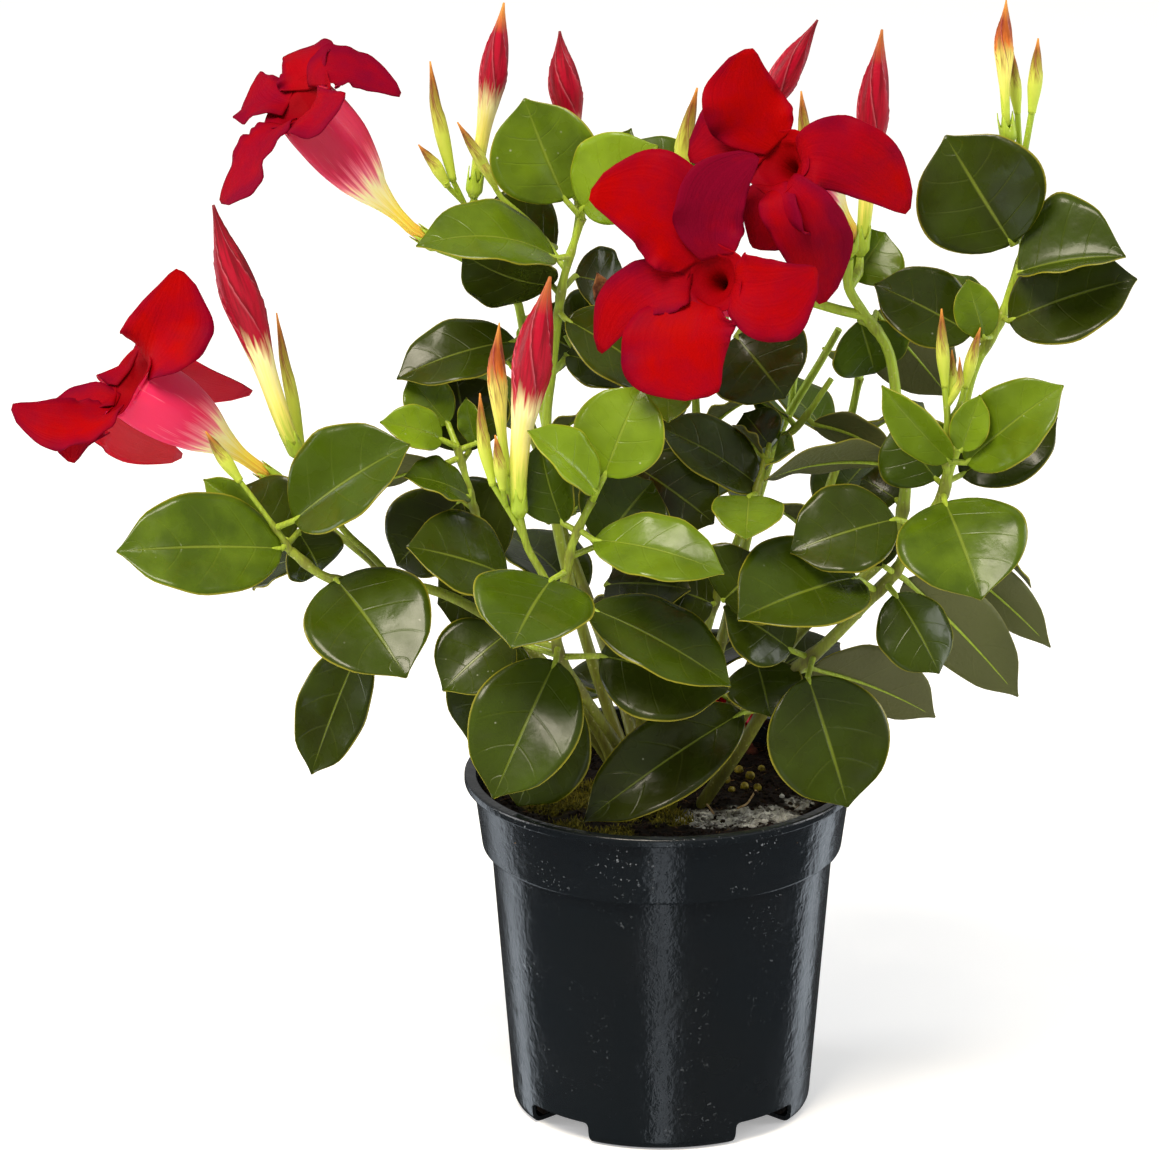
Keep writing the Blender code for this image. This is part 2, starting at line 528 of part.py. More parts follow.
def path_frames(path):
    """For each point of a path its direction and two cross directions that don't twist."""
    frames = []
    across = None
    for number, point in enumerate(path):
        before = path[max(number - 1, 0)]
        after = path[min(number + 1, len(path) - 1)]
        along = (after - before).normalized()
        if across is None:
            across = along.cross(Vector((0.0, 1.0, 0.0))).normalized()
        across = (across - along * across.dot(along)).normalized()
        frames.append((point, along, across, along.cross(across)))
    return frames


def frames_at(path, shares):
    """The frames of a path at shares of its length, square to its true direction there."""
    frames = []
    across = None
    for share in shares:
        ahead = along_path(path, min(share + FRAME_STEP, 1.0))
        behind = along_path(path, max(share - FRAME_STEP, 0.0))
        along = (ahead - behind).normalized()
        if across is None:
            across = along.cross(Vector((0.0, 1.0, 0.0))).normalized()
        across = (across - along * across.dot(along)).normalized()
        frames.append((along_path(path, share), along, across, along.cross(across)))
    return frames


def tube(frames, radii, sides):
    """Points and faces of a closed tube with a radius in mm at each frame of its path."""
    points = []
    rings = []
    for (centre, _, across, up), radius in zip(frames, radii):
        ring = []
        for side in range(sides):
            angle = math.tau * side / sides
            ring.append(len(points))
            points.append(centre + (across * math.cos(angle) + up * math.sin(angle)) * radius * MM)
        rings.append(ring)
    return points, ring_faces(rings)


def along_path(path, share):
    """The point at a share of a path's length."""
    lengths = [0.0]
    for start, end in zip(path, path[1:]):
        lengths.append(lengths[-1] + (end - start).length)
    goal = lengths[-1] * share
    for start, end, before, after in zip(path, path[1:], lengths, lengths[1:]):
        if goal <= after:
            return start.lerp(end, (goal - before) / (after - before))
    return path[-1].copy()


def trimmed(path, length):
    """A path without its first stretch of a length in mm."""
    whole = sum((end - start).length for start, end in zip(path, path[1:]))
    share = length * MM / whole
    steps = 2 * len(path)
    return [along_path(path, share + (1.0 - share) * number / steps) for number in range(steps + 1)]


def spindle(path, width, profile, sides):
    """Points and faces of a bud, whose width follows a profile of (share of length, share of width)."""
    frames = frames_at(path, [share for share, _ in profile])
    radii = [0.5 * width * breadth for _, breadth in profile]
    return tube(frames, radii, sides)


def blade_half_width(t):
    """Half the width of a leaf blade at a share of its length, as a share of half its full width."""
    return math.sin(math.pi * t ** BLADE_SKEW) ** BLADE_FULLNESS


def leaf_axes(foot, tip, facing):
    """A blade's direction, side and upper face directions, and its length."""
    along = tip - foot
    length = along.length
    along.normalize()
    normal = Vector(facing)
    normal = (normal - along * normal.dot(along)).normalized()
    return along, along.cross(normal), normal, length


def blade_section(axes, foot, leaf, t, grow):
    """Left edge, upper rib, right edge and lower rib of a blade at a share of its length."""
    along, side, normal, length = axes
    half = (0.5 * leaf.width * blade_half_width(t) + grow) * MM
    rib = foot + along * length * t + normal * length * leaf.arch * 4 * t * (1 - t)
    rise = math.radians(leaf.fold)
    out = half * math.cos(rise)
    up = half * math.sin(rise)
    thick = (0.5 * BLADE_THICKNESS + grow) * MM
    return [rib - side * out + normal * up, rib + normal * thick, rib + side * out + normal * up,
            rib - normal * thick]


def strip_faces(rings):
    """Triangles between rings of four points, split alike on the upper and lower face."""
    faces = []
    for first, second in zip(rings, rings[1:]):
        for side in range(4):
            after = (side + 1) % 4
            if side % 2 == 0:
                faces.append((first[side], first[after], second[after]))
                faces.append((first[side], second[after], second[side]))
            else:
                faces.append((first[side], first[after], second[side]))
                faces.append((first[after], second[after], second[side]))
    return faces


def blade(leaf, foot, tip, facing, grow=0.0):
    """Points and faces of a closed blade that starts at a small section and ends in a point."""
    axes = leaf_axes(foot, tip, facing)
    sections = [blade_section(axes, foot, leaf, t, grow) for t in BLADE_ROWS]
    points = [point for section in sections for point in section]
    rings = [list(range(4 * row, 4 * row + 4)) for row in range(len(sections))]
    faces = strip_faces(rings)
    faces.append((0, 3, 2))
    faces.append((0, 2, 1))
    last = rings[-1]
    points.append(tip + axes[0] * grow * MM)
    for side in range(4):
        faces.append((last[side], last[(side + 1) % 4], len(points) - 1))
    return points, faces


def petiole_ring(centre, along, side):
    """The four corners of a petiole's section across its direction."""
    side = (side - along * side.dot(along)).normalized() * PETIOLE_RADIUS * MM
    normal = side.cross(along)
    return [centre - side, centre + normal, centre + side, centre - normal]


def leaf_with_petiole(leaf, foot, tip, facing, root):
    """Points and faces of a blade with its petiole, whose root is sunk in the stem."""
    axes = leaf_axes(foot, tip, facing)
    along, side, _, _ = axes
    stalk = (foot - root).normalized()
    rings_of_points = [petiole_ring(root, stalk, side)]
    rings_of_points.append(petiole_ring(foot, (stalk + along).normalized(), side))
    rings_of_points += [blade_section(axes, foot, leaf, t, 0.0) for t in BLADE_ROWS]
    points = [point for ring in rings_of_points for point in ring]
    rings = [list(range(4 * row, 4 * row + 4)) for row in range(len(rings_of_points))]
    faces = strip_faces(rings)
    faces.append((0, 3, 2))
    faces.append((0, 2, 1))
    last = rings[-1]
    points.append(tip)
    for side_number in range(4):
        faces.append((last[side_number], last[(side_number + 1) % 4], len(points) - 1))
    return points, faces


def nearest_on_paths(paths, place):
    """The nearest point to a place on a set of paths."""
    best = None
    for path in paths:
        for start, end in zip(path, path[1:]):
            run = end - start
            share = min(max((place - start).dot(run) / run.length_squared, 0.0), 1.0)
            point = start + run * share
            if best is None or (point - place).length < (best - place).length:
                best = point
    return best


def bend_cost(bend):
    """How far a bend takes a leaf from the photograph; a turn in the picture plane shows the most."""
    tilt, roll, turn = bend
    return abs(tilt) + BEND_ROLL_COST * abs(roll) + BEND_TURN_COST * abs(turn)


def bends():
    """Every bend of a leaf, the mildest first."""
    choices = itertools.product(BEND_TILTS, BEND_ROLLS, BEND_TURNS)
    return sorted(choices, key=bend_cost)


def bent(foot, tip, facing, bend):
    """A leaf's tip and facing after a tilt in depth, a roll and a turn in the picture plane."""
    tilt, roll, turn = (math.radians(angle) for angle in bend)
    toward_back = Vector((0.0, math.cos(VIEW_ELEVATION), -math.sin(VIEW_ELEVATION)))
    along = (tip - foot).normalized()
    hinge = along.cross(toward_back)
    hinge = hinge.normalized() if hinge.length > LEAST_HINGE else Vector((1.0, 0.0, 0.0))
    swing = (Matrix.Rotation(turn, 3, toward_back) @ Matrix.Rotation(tilt, 3, hinge)
             @ Matrix.Rotation(roll, 3, along))
    return foot + swing @ (tip - foot), swing @ Vector(facing)


class Obstacles:
    """What a leaf must stay clear of: every placed piece, with the shoot that it belongs to."""

    def __init__(self):
        self.pieces = []

    def add(self, owner, points, faces):
        self.pieces.append((owner, BVHTree.FromPolygons([tuple(point) for point in points], faces)))

    def hits(self, points, faces, other_than=None):
        probe = BVHTree.FromPolygons([tuple(point) for point in points], faces)
        return any(owner != other_than and probe.overlap(tree) for owner, tree in self.pieces)


def place_leaf(owner, foot, tip, leaf, paths, obstacles):
    """The shape of a leaf in the mildest bend that is clear of what already stands."""
    root = nearest_on_paths(paths, foot)
    fallback = None
    for bend in bends():
        bent_tip, facing = bent(foot, tip, leaf.facing, bend)
        probe = blade(leaf, foot, bent_tip, facing, CLEARANCE)
        if obstacles.hits(*probe, other_than=owner):
            continue
        whole = leaf_with_petiole(leaf, foot, bent_tip, facing, root)
        if obstacles.hits(*whole, other_than=owner):
            continue
        if not obstacles.hits(*blade(leaf, foot, bent_tip, facing)):
            return whole
        fallback = fallback or whole
    if fallback is None:
        raise ValueError(f"a leaf of {owner} has no clear bend")
    return fallback


def paired_leaves(path):
    """Foot, tip and leaf of the opposite pairs up a path, each pair turned from the one below."""
    leaves = []
    for number, (share, (length, width)) in enumerate(zip(PAIR_PLACES, PAIR_BLADES)):
        node = along_path(path, share)
        rise = PAIR_RISE + PAIR_RISE_STEP * number
        for half_turn in (0.0, math.pi):
            angle = PAIR_FIRST_TURN + number * PAIR_TURN + half_turn
            out = Vector((math.cos(angle), math.sin(angle), rise)).normalized()
            foot = node + out * PAIR_STALK * MM
            tip = foot + out * length * MM
            facing = Vector((0.0, 0.0, 1.0)) - out * PAIR_LEAN
            leaves.append((foot, tip, Leaf(None, None, width, tuple(facing), PAIR_FOLD, PAIR_ARCH)))
    return leaves


def petal_half_widths(t, root_half, width):
    """Half widths in mm of a petal's lean and full side at a share of its length."""
    root = root_half * (1.0 - t) ** 2
    lean = root + width * PETAL_LEAN_SHARE * math.sin(math.pi * t) ** PETAL_LEAN_FULLNESS
    swell = math.sin(math.pi * t ** PETAL_FULL_SKEW) ** PETAL_FULL_FULLNESS
    full = root + width * (1.0 - PETAL_LEAN_SHARE) * swell
    return lean, full


def petal_frame(centre, axis, tip, full_side):
    """Where a petal leaves the throat: its outward and its sideways direction there."""
    spoke = tip - centre
    spoke = (spoke - axis * spoke.dot(axis)).normalized()
    outward = Matrix.Rotation(full_side * PETAL_ROOT_TURN, 3, axis) @ spoke
    return outward, axis.cross(outward)


def petal_point(petal, centre, axis, radius, t, across):
    """A point on a petal's middle surface; across runs from -1 to 1, with 1 on its full side."""
    tip = photo_point(petal.tip)
    outward, sideways = petal_frame(centre, axis, tip, petal.full_side)
    root = centre + outward * radius * PETAL_ROOT_SHARE * MM - axis * PETAL_SINK * MM
    reach = (tip - root).length
    straight = max(0.0, outward.dot(tip - root) / reach)
    flare = PETAL_FLARE * (PETAL_LEAST_FLARE + (1.0 - PETAL_LEAST_FLARE) * straight)
    guide = root + (outward * PETAL_OUTWARD + axis * PETAL_FORWARD).normalized() * reach * flare
    guide += sideways * petal.full_side * reach * straight * PETAL_SWING
    rib = root * (1 - t) ** 2 + guide * 2 * t * (1 - t) + tip * t * t
    along = ((guide - root) * (1 - t) + (tip - guide) * t).normalized()
    tip_side = along.cross(Vector(petal.facing)).normalized()
    if tip_side.dot(sideways) < 0.0:
        tip_side.negate()
    side = sideways.lerp(tip_side, min(1.0, PETAL_SIDE_TURN * t))
    side = (side - along * side.dot(along)).normalized()
    normal = side.cross(along)
    if normal.dot(axis) < 0.0:
        normal.negate()
    lean, full = petal_half_widths(t, radius * math.sin(math.pi / PETALS_OF_A_BLOOM), petal.width)
    spread = across * (full if across > 0 else lean) * MM * (1.0 if petal.full_side > 0 else -1.0)
    lift = PETAL_TWIST * spread + PETAL_CUP * abs(spread) * (1.0 - t)
    return rib + side * spread + normal * lift


def petal_shape(petal, centre, axis, radius):
    """Points and faces of a closed petal of even thickness."""
    places = itertools.product(PETAL_ROWS, PETAL_COLUMNS)
    middle = [petal_point(petal, centre, axis, radius, t, across) for t, across in places]
    middle.append(photo_point(petal.tip))
    width = len(PETAL_COLUMNS)
    faces = []
    for row in range(len(PETAL_ROWS) - 1):
        for column in range(width - 1):
            corner = row * width + column
            faces.append((corner, corner + 1, corner + width + 1))
            faces.append((corner, corner + width + 1, corner + width))
    last = (len(PETAL_ROWS) - 1) * width
    for column in range(width - 1):
        faces.append((last + column, last + column + 1, len(middle) - 1))
    return thickened(middle, faces, PETAL_THICKNESS)


def thickened(points, faces, thickness):
    """A closed skin about an open surface, with the same triangles on both faces."""
    normals = [Vector() for _ in points]
    for a, b, c in faces:
        normal = (points[b] - points[a]).cross(points[c] - points[a])
        for corner in (a, b, c):
            normals[corner] += normal
    half = 0.5 * thickness * MM
    upper = [point + normal.normalized() * half for point, normal in zip(points, normals)]
    lower = [point - normal.normalized() * half for point, normal in zip(points, normals)]
    count = len(points)
    skin = list(faces) + [(c + count, b + count, a + count) for a, b, c in faces]
    edges = set()
    for face in faces:
        for start, end in zip(face, face[1:] + face[:1]):
            edges.add((start, end))
    for start, end in sorted(edges):
        if (end, start) not in edges:
            skin.append((end, start, start + count))
            skin.append((end, start + count, end + count))
    return upper + lower, skin


def funnel(path, throat_radius):
    """Points and faces of a hollow corolla tube that widens from the calyx to the throat."""
    frames = frames_at(path, [share for share, _ in FUNNEL_PROFILE])
    points = []
    rings = []

    def add_ring(frame, radius):
        centre, _, across, up = frame
        ring = []
        for side in range(FUNNEL_SIDES):
            angle = math.tau * side / FUNNEL_SIDES
            ring.append(len(points))
            points.append(centre + (across * math.cos(angle) + up * math.sin(angle)) * radius * MM)
        rings.append(ring)

    for frame, (_, breadth) in zip(frames, FUNNEL_PROFILE):
        add_ring(frame, throat_radius * breadth)
    for frame, (share, breadth) in reversed(list(zip(frames, FUNNEL_PROFILE))):
        if share > FUNNEL_FLOOR:
            add_ring(frame, throat_radius * breadth - FUNNEL_WALL)
    rings.append([len(points)])
    points.append(along_path(path, FUNNEL_FLOOR))
    return points, ring_faces(rings)


def union(name, shapes, material):
    """One body from many overlapping closed shapes."""
    joined = bpy.data.collections.new(name + "_pieces")
    bpy.context.scene.collection.children.link(joined)
    body = mesh_object(name, *shapes[0])
    for number, shape in enumerate(shapes[1:]):
        mesh_object(f"{name}_piece_{number}", *shape, collection=joined)
    join = body.modifiers.new("join", "BOOLEAN")
    join.operation = "UNION"
    join.operand_type = "COLLECTION"
    join.collection = joined
    # The exact solver leaves open edges where many thin blades meet a stem
    join.solver = "MANIFOLD"
    bpy.context.view_layer.update()
    mesh = bpy.data.meshes.new_from_object(body.evaluated_get(bpy.context.evaluated_depsgraph_get()))
    body.modifiers.remove(join)
    body.data = mesh
    for piece in list(joined.objects):
        bpy.data.objects.remove(piece, do_unlink=True)
    bpy.data.collections.remove(joined)
    tidy_mesh(mesh)
    finish_object(body, material)
    return body


def tidy_mesh(mesh):
    """Weld the slivers that a union leaves."""
    shell = bmesh.new()
    shell.from_mesh(mesh)
    bmesh.ops.triangulate(shell, faces=shell.faces)
    bmesh.ops.remove_doubles(shell, verts=shell.verts, dist=SLIVER * MM)
    loose = [vert for vert in shell.verts if not vert.link_faces]
    bmesh.ops.delete(shell, geom=loose, context="VERTS")
    bmesh.ops.recalc_face_normals(shell, faces=shell.faces)
    shell.to_mesh(mesh)
    shell.free()


def finish_object(thing, material):
    """Give an object its material and smooth shading with sharp creases."""
    thing.data.materials.clear()
    thing.data.materials.append(material)
    thing.data.shade_smooth()
    thing.data.set_sharp_from_angle(angle=CREASE_ANGLE)


def pot_profile():
    """The pot's outline from the middle of its underside, up the outside and down the inside."""
    inner_foot = FOOT_RADIUS - POT_WALL
    return [
        (0.0, 0.0),
        (FOOT_RADIUS - FOOT_ROUNDING, 0.0),
        (FOOT_RADIUS - FOOT_CHAMFER, FOOT_CHAMFER),
        (FOOT_RADIUS, FOOT_ROUNDING),
        (BODY_TOP_RADIUS, BAND_FLOOR),
        (BAND_BOTTOM_RADIUS, BAND_FLOOR),
        (BAND_TOP_RADIUS, POT_HEIGHT - LIP_HEIGHT),
        (LIP_RADIUS, POT_HEIGHT - LIP_HEIGHT + LIP_ROUNDING),
        (LIP_RADIUS, POT_HEIGHT - LIP_ROUNDING),
        (LIP_RADIUS - LIP_ROUNDING, POT_HEIGHT),
        (BAND_TOP_RADIUS - POT_WALL + LIP_ROUNDING, POT_HEIGHT),
        (BAND_TOP_RADIUS - POT_WALL, POT_HEIGHT - LIP_HEIGHT),
        (BAND_BOTTOM_RADIUS - POT_WALL, BAND_FLOOR + POT_WALL),
        (BODY_TOP_RADIUS - POT_WALL, BAND_FLOOR - POT_WALL),
        (inner_foot, FOOT_ROUNDING),
        (inner_foot - INNER_FOOT_ROUNDING, POT_WALL),
        (0.0, POT_WALL),
    ]


def inner_band_radius(height):
    """The inside radius of the pot's band at a height."""
    share = (height - BAND_FLOOR - POT_WALL) / (POT_HEIGHT - LIP_HEIGHT - BAND_FLOOR - POT_WALL)
    return BAND_BOTTOM_RADIUS - POT_WALL + share * (BAND_TOP_RADIUS - BAND_BOTTOM_RADIUS)


def build_pot(material):
    """The pot with its drain slots cut through the rounded foot."""
    pot = mesh_object("pot", *lathe(pot_profile(), POT_SIDES))
    cut_drain_slots(pot)
    apply_cuts(pot)
    finish_object(pot, material)


def cut_drain_slots(thing):
    """Cut the four drain slots, open below and outward, through the pot's foot or out of the soil."""
    for number in range(DRAIN_SLOTS):
        angle = DRAIN_FIRST_ANGLE + math.tau * number / DRAIN_SLOTS
        bpy.ops.mesh.primitive_cube_add(size=1.0)
        slot = bpy.context.object
        slot.scale = Vector((2 * DRAIN_DEPTH, DRAIN_WIDTH, 2 * DRAIN_HEIGHT)) * MM
        slot.location = Vector((math.cos(angle), math.sin(angle), 0.0)) * FOOT_RADIUS * MM
        slot.rotation_euler.z = angle
        cut(thing, slot)


def cut(thing, cutter):
    """Cut a solid out of another one."""
    cutter.hide_render = True
    cutter.display_type = "WIRE"
    subtract = thing.modifiers.new("cut", "BOOLEAN")
    subtract.operation = "DIFFERENCE"
    subtract.object = cutter
    subtract.solver = "EXACT"


def apply_cuts(thing):
    """Apply an object's cuts and remove the cutters."""
    bpy.context.view_layer.update()
    mesh = bpy.data.meshes.new_from_object(thing.evaluated_get(bpy.context.evaluated_depsgraph_get()))
    cutters = [modifier.object for modifier in thing.modifiers]
    thing.modifiers.clear()
    thing.data = mesh
    for cutter in cutters:
        bpy.data.objects.remove(cutter, do_unlink=True)
    tidy_mesh(mesh)


def soil_height(angle, share):
    """The height in mm of the soil at an angle and at a share of its radius."""
    waves = sum(strength * math.sin(lobes * angle + swirl * share) for strength, lobes, swirl in SOIL_WAVES)
    return SOIL_LEVEL + SOIL_RELIEF * share * waves


def build_soil(material, feet):
    """The soil that fills the pot, with a plain hole for each stem."""
    gap = TOUCH_GAP
    top_radius = inner_band_radius(SOIL_LEVEL - 2 * SOIL_RELIEF) - gap
    profile = [
        (0.0, POT_WALL + gap),
        (FOOT_RADIUS - POT_WALL - INNER_FOOT_ROUNDING - gap, POT_WALL + gap),
        (FOOT_RADIUS - POT_WALL - gap, FOOT_ROUNDING),
        (BODY_TOP_RADIUS - POT_WALL - gap, BAND_FLOOR - POT_WALL),
        (BAND_BOTTOM_RADIUS - POT_WALL - gap, BAND_FLOOR + POT_WALL + gap),
        (inner_band_radius(SOIL_LEVEL - 3 * SOIL_RELIEF) - gap, SOIL_LEVEL - 3 * SOIL_RELIEF),
    ]
    surface = [(top_radius * share, SOIL_LEVEL) for share in SOIL_RINGS] + [(0.0, SOIL_LEVEL)]
    points, faces = lathe(profile + surface, SOIL_SIDES)
    first_of_surface = 1 + SOIL_SIDES * (len(profile) - 1)
    for number in range(first_of_surface, len(points) - 1):
        share = math.hypot(points[number].x, points[number].y) / (top_radius * MM)
        points[number].z = soil_height(math.atan2(points[number].y, points[number].x), share) * MM
    soil = mesh_object("soil", points, faces)
    for foot, radius in feet:
        floor = Vector((foot.x, foot.y, (SOIL_LEVEL - HOLE_DEPTH) * MM))
        top = Vector((foot.x, foot.y, (SOIL_LEVEL + HOLE_DEPTH) * MM))
        reach = (radius + gap) / math.cos(math.pi / HOLE_SIDES)
        cut(soil, mesh_object("hole_cutter", *tube(path_frames([floor, top]), [reach, reach], HOLE_SIDES)))
    cut_drain_slots(soil)
    apply_cuts(soil)
    finish_object(soil, material)


def twig_path(twig, older_paths):
    """A twig's smooth path, from the nearest older twig; a main stem goes straight down into the soil."""
    points = [photo_point(place) for place in twig.points]
    if older_paths:
        points[0] = nearest_on_paths(older_paths, points[0])
        return smooth_path(points, STEM_STEP)
    points[0].z = SOIL_LEVEL * MM
    foot = points[0] - Vector((0.0, 0.0, (HOLE_DEPTH - TOUCH_GAP) * MM))
    ground = points[0] + Vector((0.0, 0.0, GROUND_RISE * MM))
    return [foot] + smooth_path([ground] + points[1:], STEM_STEP)


def twig_shape(twig, path):
    """Points and faces of a twig that thins toward its tip."""
    growth = (twig.end_radius - twig.start_radius) / (len(path) - 1)
    radii = [twig.start_radius + growth * number for number in range(len(path))]
    return tube(path_frames(path), radii, STEM_SIDES)


def calyx_shape(path, twig_paths):
    """Points and faces of the green calyx under a bloom or a large bud, sunk in the twig that carries it."""
    whole = sum((end - start).length for start, end in zip(path, path[1:]))
    middle, top = (along_path(path, share * CALYX_LENGTH * MM / whole) for share in (0.5, 1.0))
    foot = nearest_on_paths(twig_paths, path[0])
    radii = [CALYX_FOOT_RADIUS, CALYX_RADIUS, CALYX_TOP_RADIUS]
    return tube(path_frames([foot, middle, top]), radii, STEM_SIDES)


def flower_path(places):
    """A smooth path for a bloom's tube or a bud."""
    return smooth_path([photo_point(place) for place in places], STEM_STEP)


def bloom_shapes(bloom):
    """The corolla tube and the five petals of a bloom."""
    path = trimmed(flower_path(bloom.tube), CALYX_LENGTH + TOUCH_GAP)
    centre = path[-1]
    axis = (path[-1] - path[-3]).normalized()
    shapes = [funnel(path, bloom.throat_radius)]
    shapes += [petal_shape(petal, centre, axis, bloom.throat_radius) for petal in bloom.petals]
    return shapes


def build_flowers(materials, obstacles):
    """The blooms and the large buds, each its own body just above its calyx."""
    for name, (_, bloom) in BLOOMS.items():
        shapes = bloom_shapes(bloom)
        union(name, shapes, materials["petal"])
        for shape in shapes:
            obstacles.add(name, *shape)
    for name, (_, bud) in LARGE_BUDS.items():
        path = trimmed(flower_path(bud.points), CALYX_LENGTH + TOUCH_GAP)
        shape = spindle(path, bud.width, BUD_PROFILE, BUD_SIDES)
        finish_object(mesh_object(name, *shape), materials["bud"])
        obstacles.add(name, *shape)


def build_fallen_petal(material, obstacles):
    """A fallen petal that leans on the inside of the pot's rim."""
    root = photo_point(FALLEN_PETAL_ROOT)
    axis = Vector(FALLEN_PETAL_AXIS).normalized()
    shape = petal_shape(FALLEN_PETAL, root, axis, FALLEN_ROOT_RADIUS)
    finish_object(mesh_object("fallen_petal", *shape), material)
    obstacles.add("fallen_petal", *shape)


def all_shoots():
    """Every shoot by name, those planned from the photograph first."""
    shoots = dict(SHOOTS)
    for name, twigs in BACK_TWIGS.items():
        shoots[name] = Shoot(twigs, [], [])
    return shoots


def calyx_paths(owner):
    """The paths of the flowers and large buds that grow on a shoot."""
    blooms = [flower_path(bloom.tube) for grower, bloom in BLOOMS.values() if grower == owner]
    buds = [flower_path(bud.points) for grower, bud in LARGE_BUDS.values() if grower == owner]
    return blooms + buds


def build_shoots(materials, obstacles):
    """The leafy shoots: twigs, calyxes and small buds first, then the leaves, bent clear of each other."""
    shoots = all_shoots()
    paths = {}
    shapes = {}
    for name, shoot in shoots.items():
        paths[name] = []
        for twig in shoot.twigs:
            paths[name].append(twig_path(twig, paths[name]))
        shapes[name] = [twig_shape(twig, path) for twig, path in zip(shoot.twigs, paths[name])]
        shapes[name] += [calyx_shape(path, paths[name]) for path in calyx_paths(name)]
        for bud in shoot.small_buds:
            path = flower_path(bud.points)
            path[0] = nearest_on_paths(paths[name], path[0])
            shapes[name].append(spindle(path, bud.width, SMALL_BUD_PROFILE, STEM_SIDES))
        for shape in shapes[name]:
            obstacles.add(name, *shape)
    for name, shoot in shoots.items():
        placed = [(photo_point(leaf.base), photo_point(leaf.tip), leaf) for leaf in shoot.leaves]
        if name in BACK_TWIGS:
            placed = paired_leaves(paths[name][0])
        for foot, tip, leaf in placed:
            shape = place_leaf(name, foot, tip, leaf, paths[name], obstacles)
            shapes[name].append(shape)
            obstacles.add(name, *shape)
        union(name + "_shoot", shapes[name], materials["leaf"])
    return [(path[0][0], shoots[name].twigs[0].start_radius) for name, path in paths.items()]


def main():
    clear_scene()
    materials = {
        "pot": principled("pot plastic", (0.018, 0.021, 0.026), 0.42),
        "soil": principled("peat", (0.018, 0.012, 0.008), 0.95),
        "leaf": principled("leaf and stem", (0.075, 0.16, 0.018), 0.38),
        "petal": principled("red petal", (0.66, 0.006, 0.012), 0.55),
        "bud": principled("bud skin", (0.72, 0.12, 0.04), 0.5),
    }
    obstacles = Obstacles()
    build_pot(materials["pot"])
    obstacles.add("pot", *lathe(pot_profile(), POT_SIDES))
    build_flowers(materials, obstacles)
    build_fallen_petal(materials["petal"], obstacles)
    feet = build_shoots(materials, obstacles)
    build_soil(materials["soil"], feet)


main()
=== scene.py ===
"""The finish of a potted mandevilla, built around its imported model.

The file is laid out as a Blender add-on: the sizes and colours that a user would change are properties, each
group of like pieces has an operator, and a panel lists them. Run as a script, it makes them all. Leaves,
stems, blooms and buds follow the plan below, which the part's source also holds. A planned point is a pixel
column and row of the 1160 pixel photograph with a depth in mm behind the pot's axis.
"""
import functools
import itertools
import math
import random
from collections import namedtuple

import bmesh
import bpy
from mathutils import Matrix, Vector, noise
from mathutils.bvhtree import BVHTree


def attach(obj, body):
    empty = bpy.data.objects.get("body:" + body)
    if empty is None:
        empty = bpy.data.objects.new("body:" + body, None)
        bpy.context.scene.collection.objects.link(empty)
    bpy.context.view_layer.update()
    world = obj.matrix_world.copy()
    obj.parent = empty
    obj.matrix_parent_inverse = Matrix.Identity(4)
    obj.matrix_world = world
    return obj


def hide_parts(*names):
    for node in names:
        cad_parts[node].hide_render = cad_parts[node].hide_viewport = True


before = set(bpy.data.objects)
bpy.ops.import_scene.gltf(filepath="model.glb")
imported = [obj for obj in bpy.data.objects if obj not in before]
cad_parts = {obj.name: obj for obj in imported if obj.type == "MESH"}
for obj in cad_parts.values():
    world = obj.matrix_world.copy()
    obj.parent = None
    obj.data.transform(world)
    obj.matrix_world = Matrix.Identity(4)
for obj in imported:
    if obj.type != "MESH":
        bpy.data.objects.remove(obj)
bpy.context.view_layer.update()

bl_info = {
    "name": "Potted mandevilla",
    "version": (1, 0, 0),
    "blender": (4, 5, 0),
    "location": "3D View > Sidebar > Mandevilla",
    "description": "Finishes the leaves, stems, blooms, buds, soil and pot of a mandevilla",
    "category": "Object",
}

MM = 0.001
BODY = "root"

# The stage's white, and the panels that the pot mirrors: place and half width in metres
WHITE = (1.0, 1.0, 1.0)
PANELS = (("front", (0.0, -1.4), 0.15), ("left", (-1.1, 0.9), 0.3), ("right", (1.1, 0.9), 0.3))
PANEL_HEIGHT = 2.0

# Node settings that many patterns share; a pattern's scale is its waves, cells or streaks to a mm, over MM
BLEND = {"out": "Result_Color", "data_type": "RGBA"}
TONE = {"out": "Fac", "attribute_name": "tone"}
SMOOTH = {"interpolation_type": "SMOOTHSTEP"}

# How the photograph sees the plant
PIXELS_PER_MM = 3.06
AXIS_COLUMN = 662.5
FOOT_ROW = 1104
IMAGE_SIZE = 1160
VIEW_ELEVATION = math.radians(19.3)

# What the part's source also holds, sizes in mm
SOIL_LEVEL = 104.0
SOIL_WAVES = ((1.0, 3, 5), (0.6, 5, -9))
SOIL_RELIEF = 1.2
HOLE_DEPTH = 13.0
TOUCH_GAP = 0.3
GROUND_RISE = 2.5
STEM_STEP = 14.0
FRAME_STEP = 0.03
CALYX_LENGTH = 5.5
BLADE_ROWS = (0.07, 0.3, 0.65, 0.88)
BLADE_SKEW = 0.9
BLADE_FULLNESS = 0.6
PETALS_OF_A_BLOOM = 5
PETAL_ROOT_TURN = math.radians(10.0)
PETAL_ROOT_SHARE = 0.86
PETAL_SINK = 0.6
PETAL_OUTWARD = 0.8
PETAL_FORWARD = 0.6
PETAL_FLARE = 0.42
PETAL_SWING = 0.2
PETAL_LEAST_FLARE = 0.5
PETAL_TWIST = 0.16
PETAL_CUP = 0.25
PETAL_SIDE_TURN = 1.5
PETAL_LEAN_SHARE = 0.3
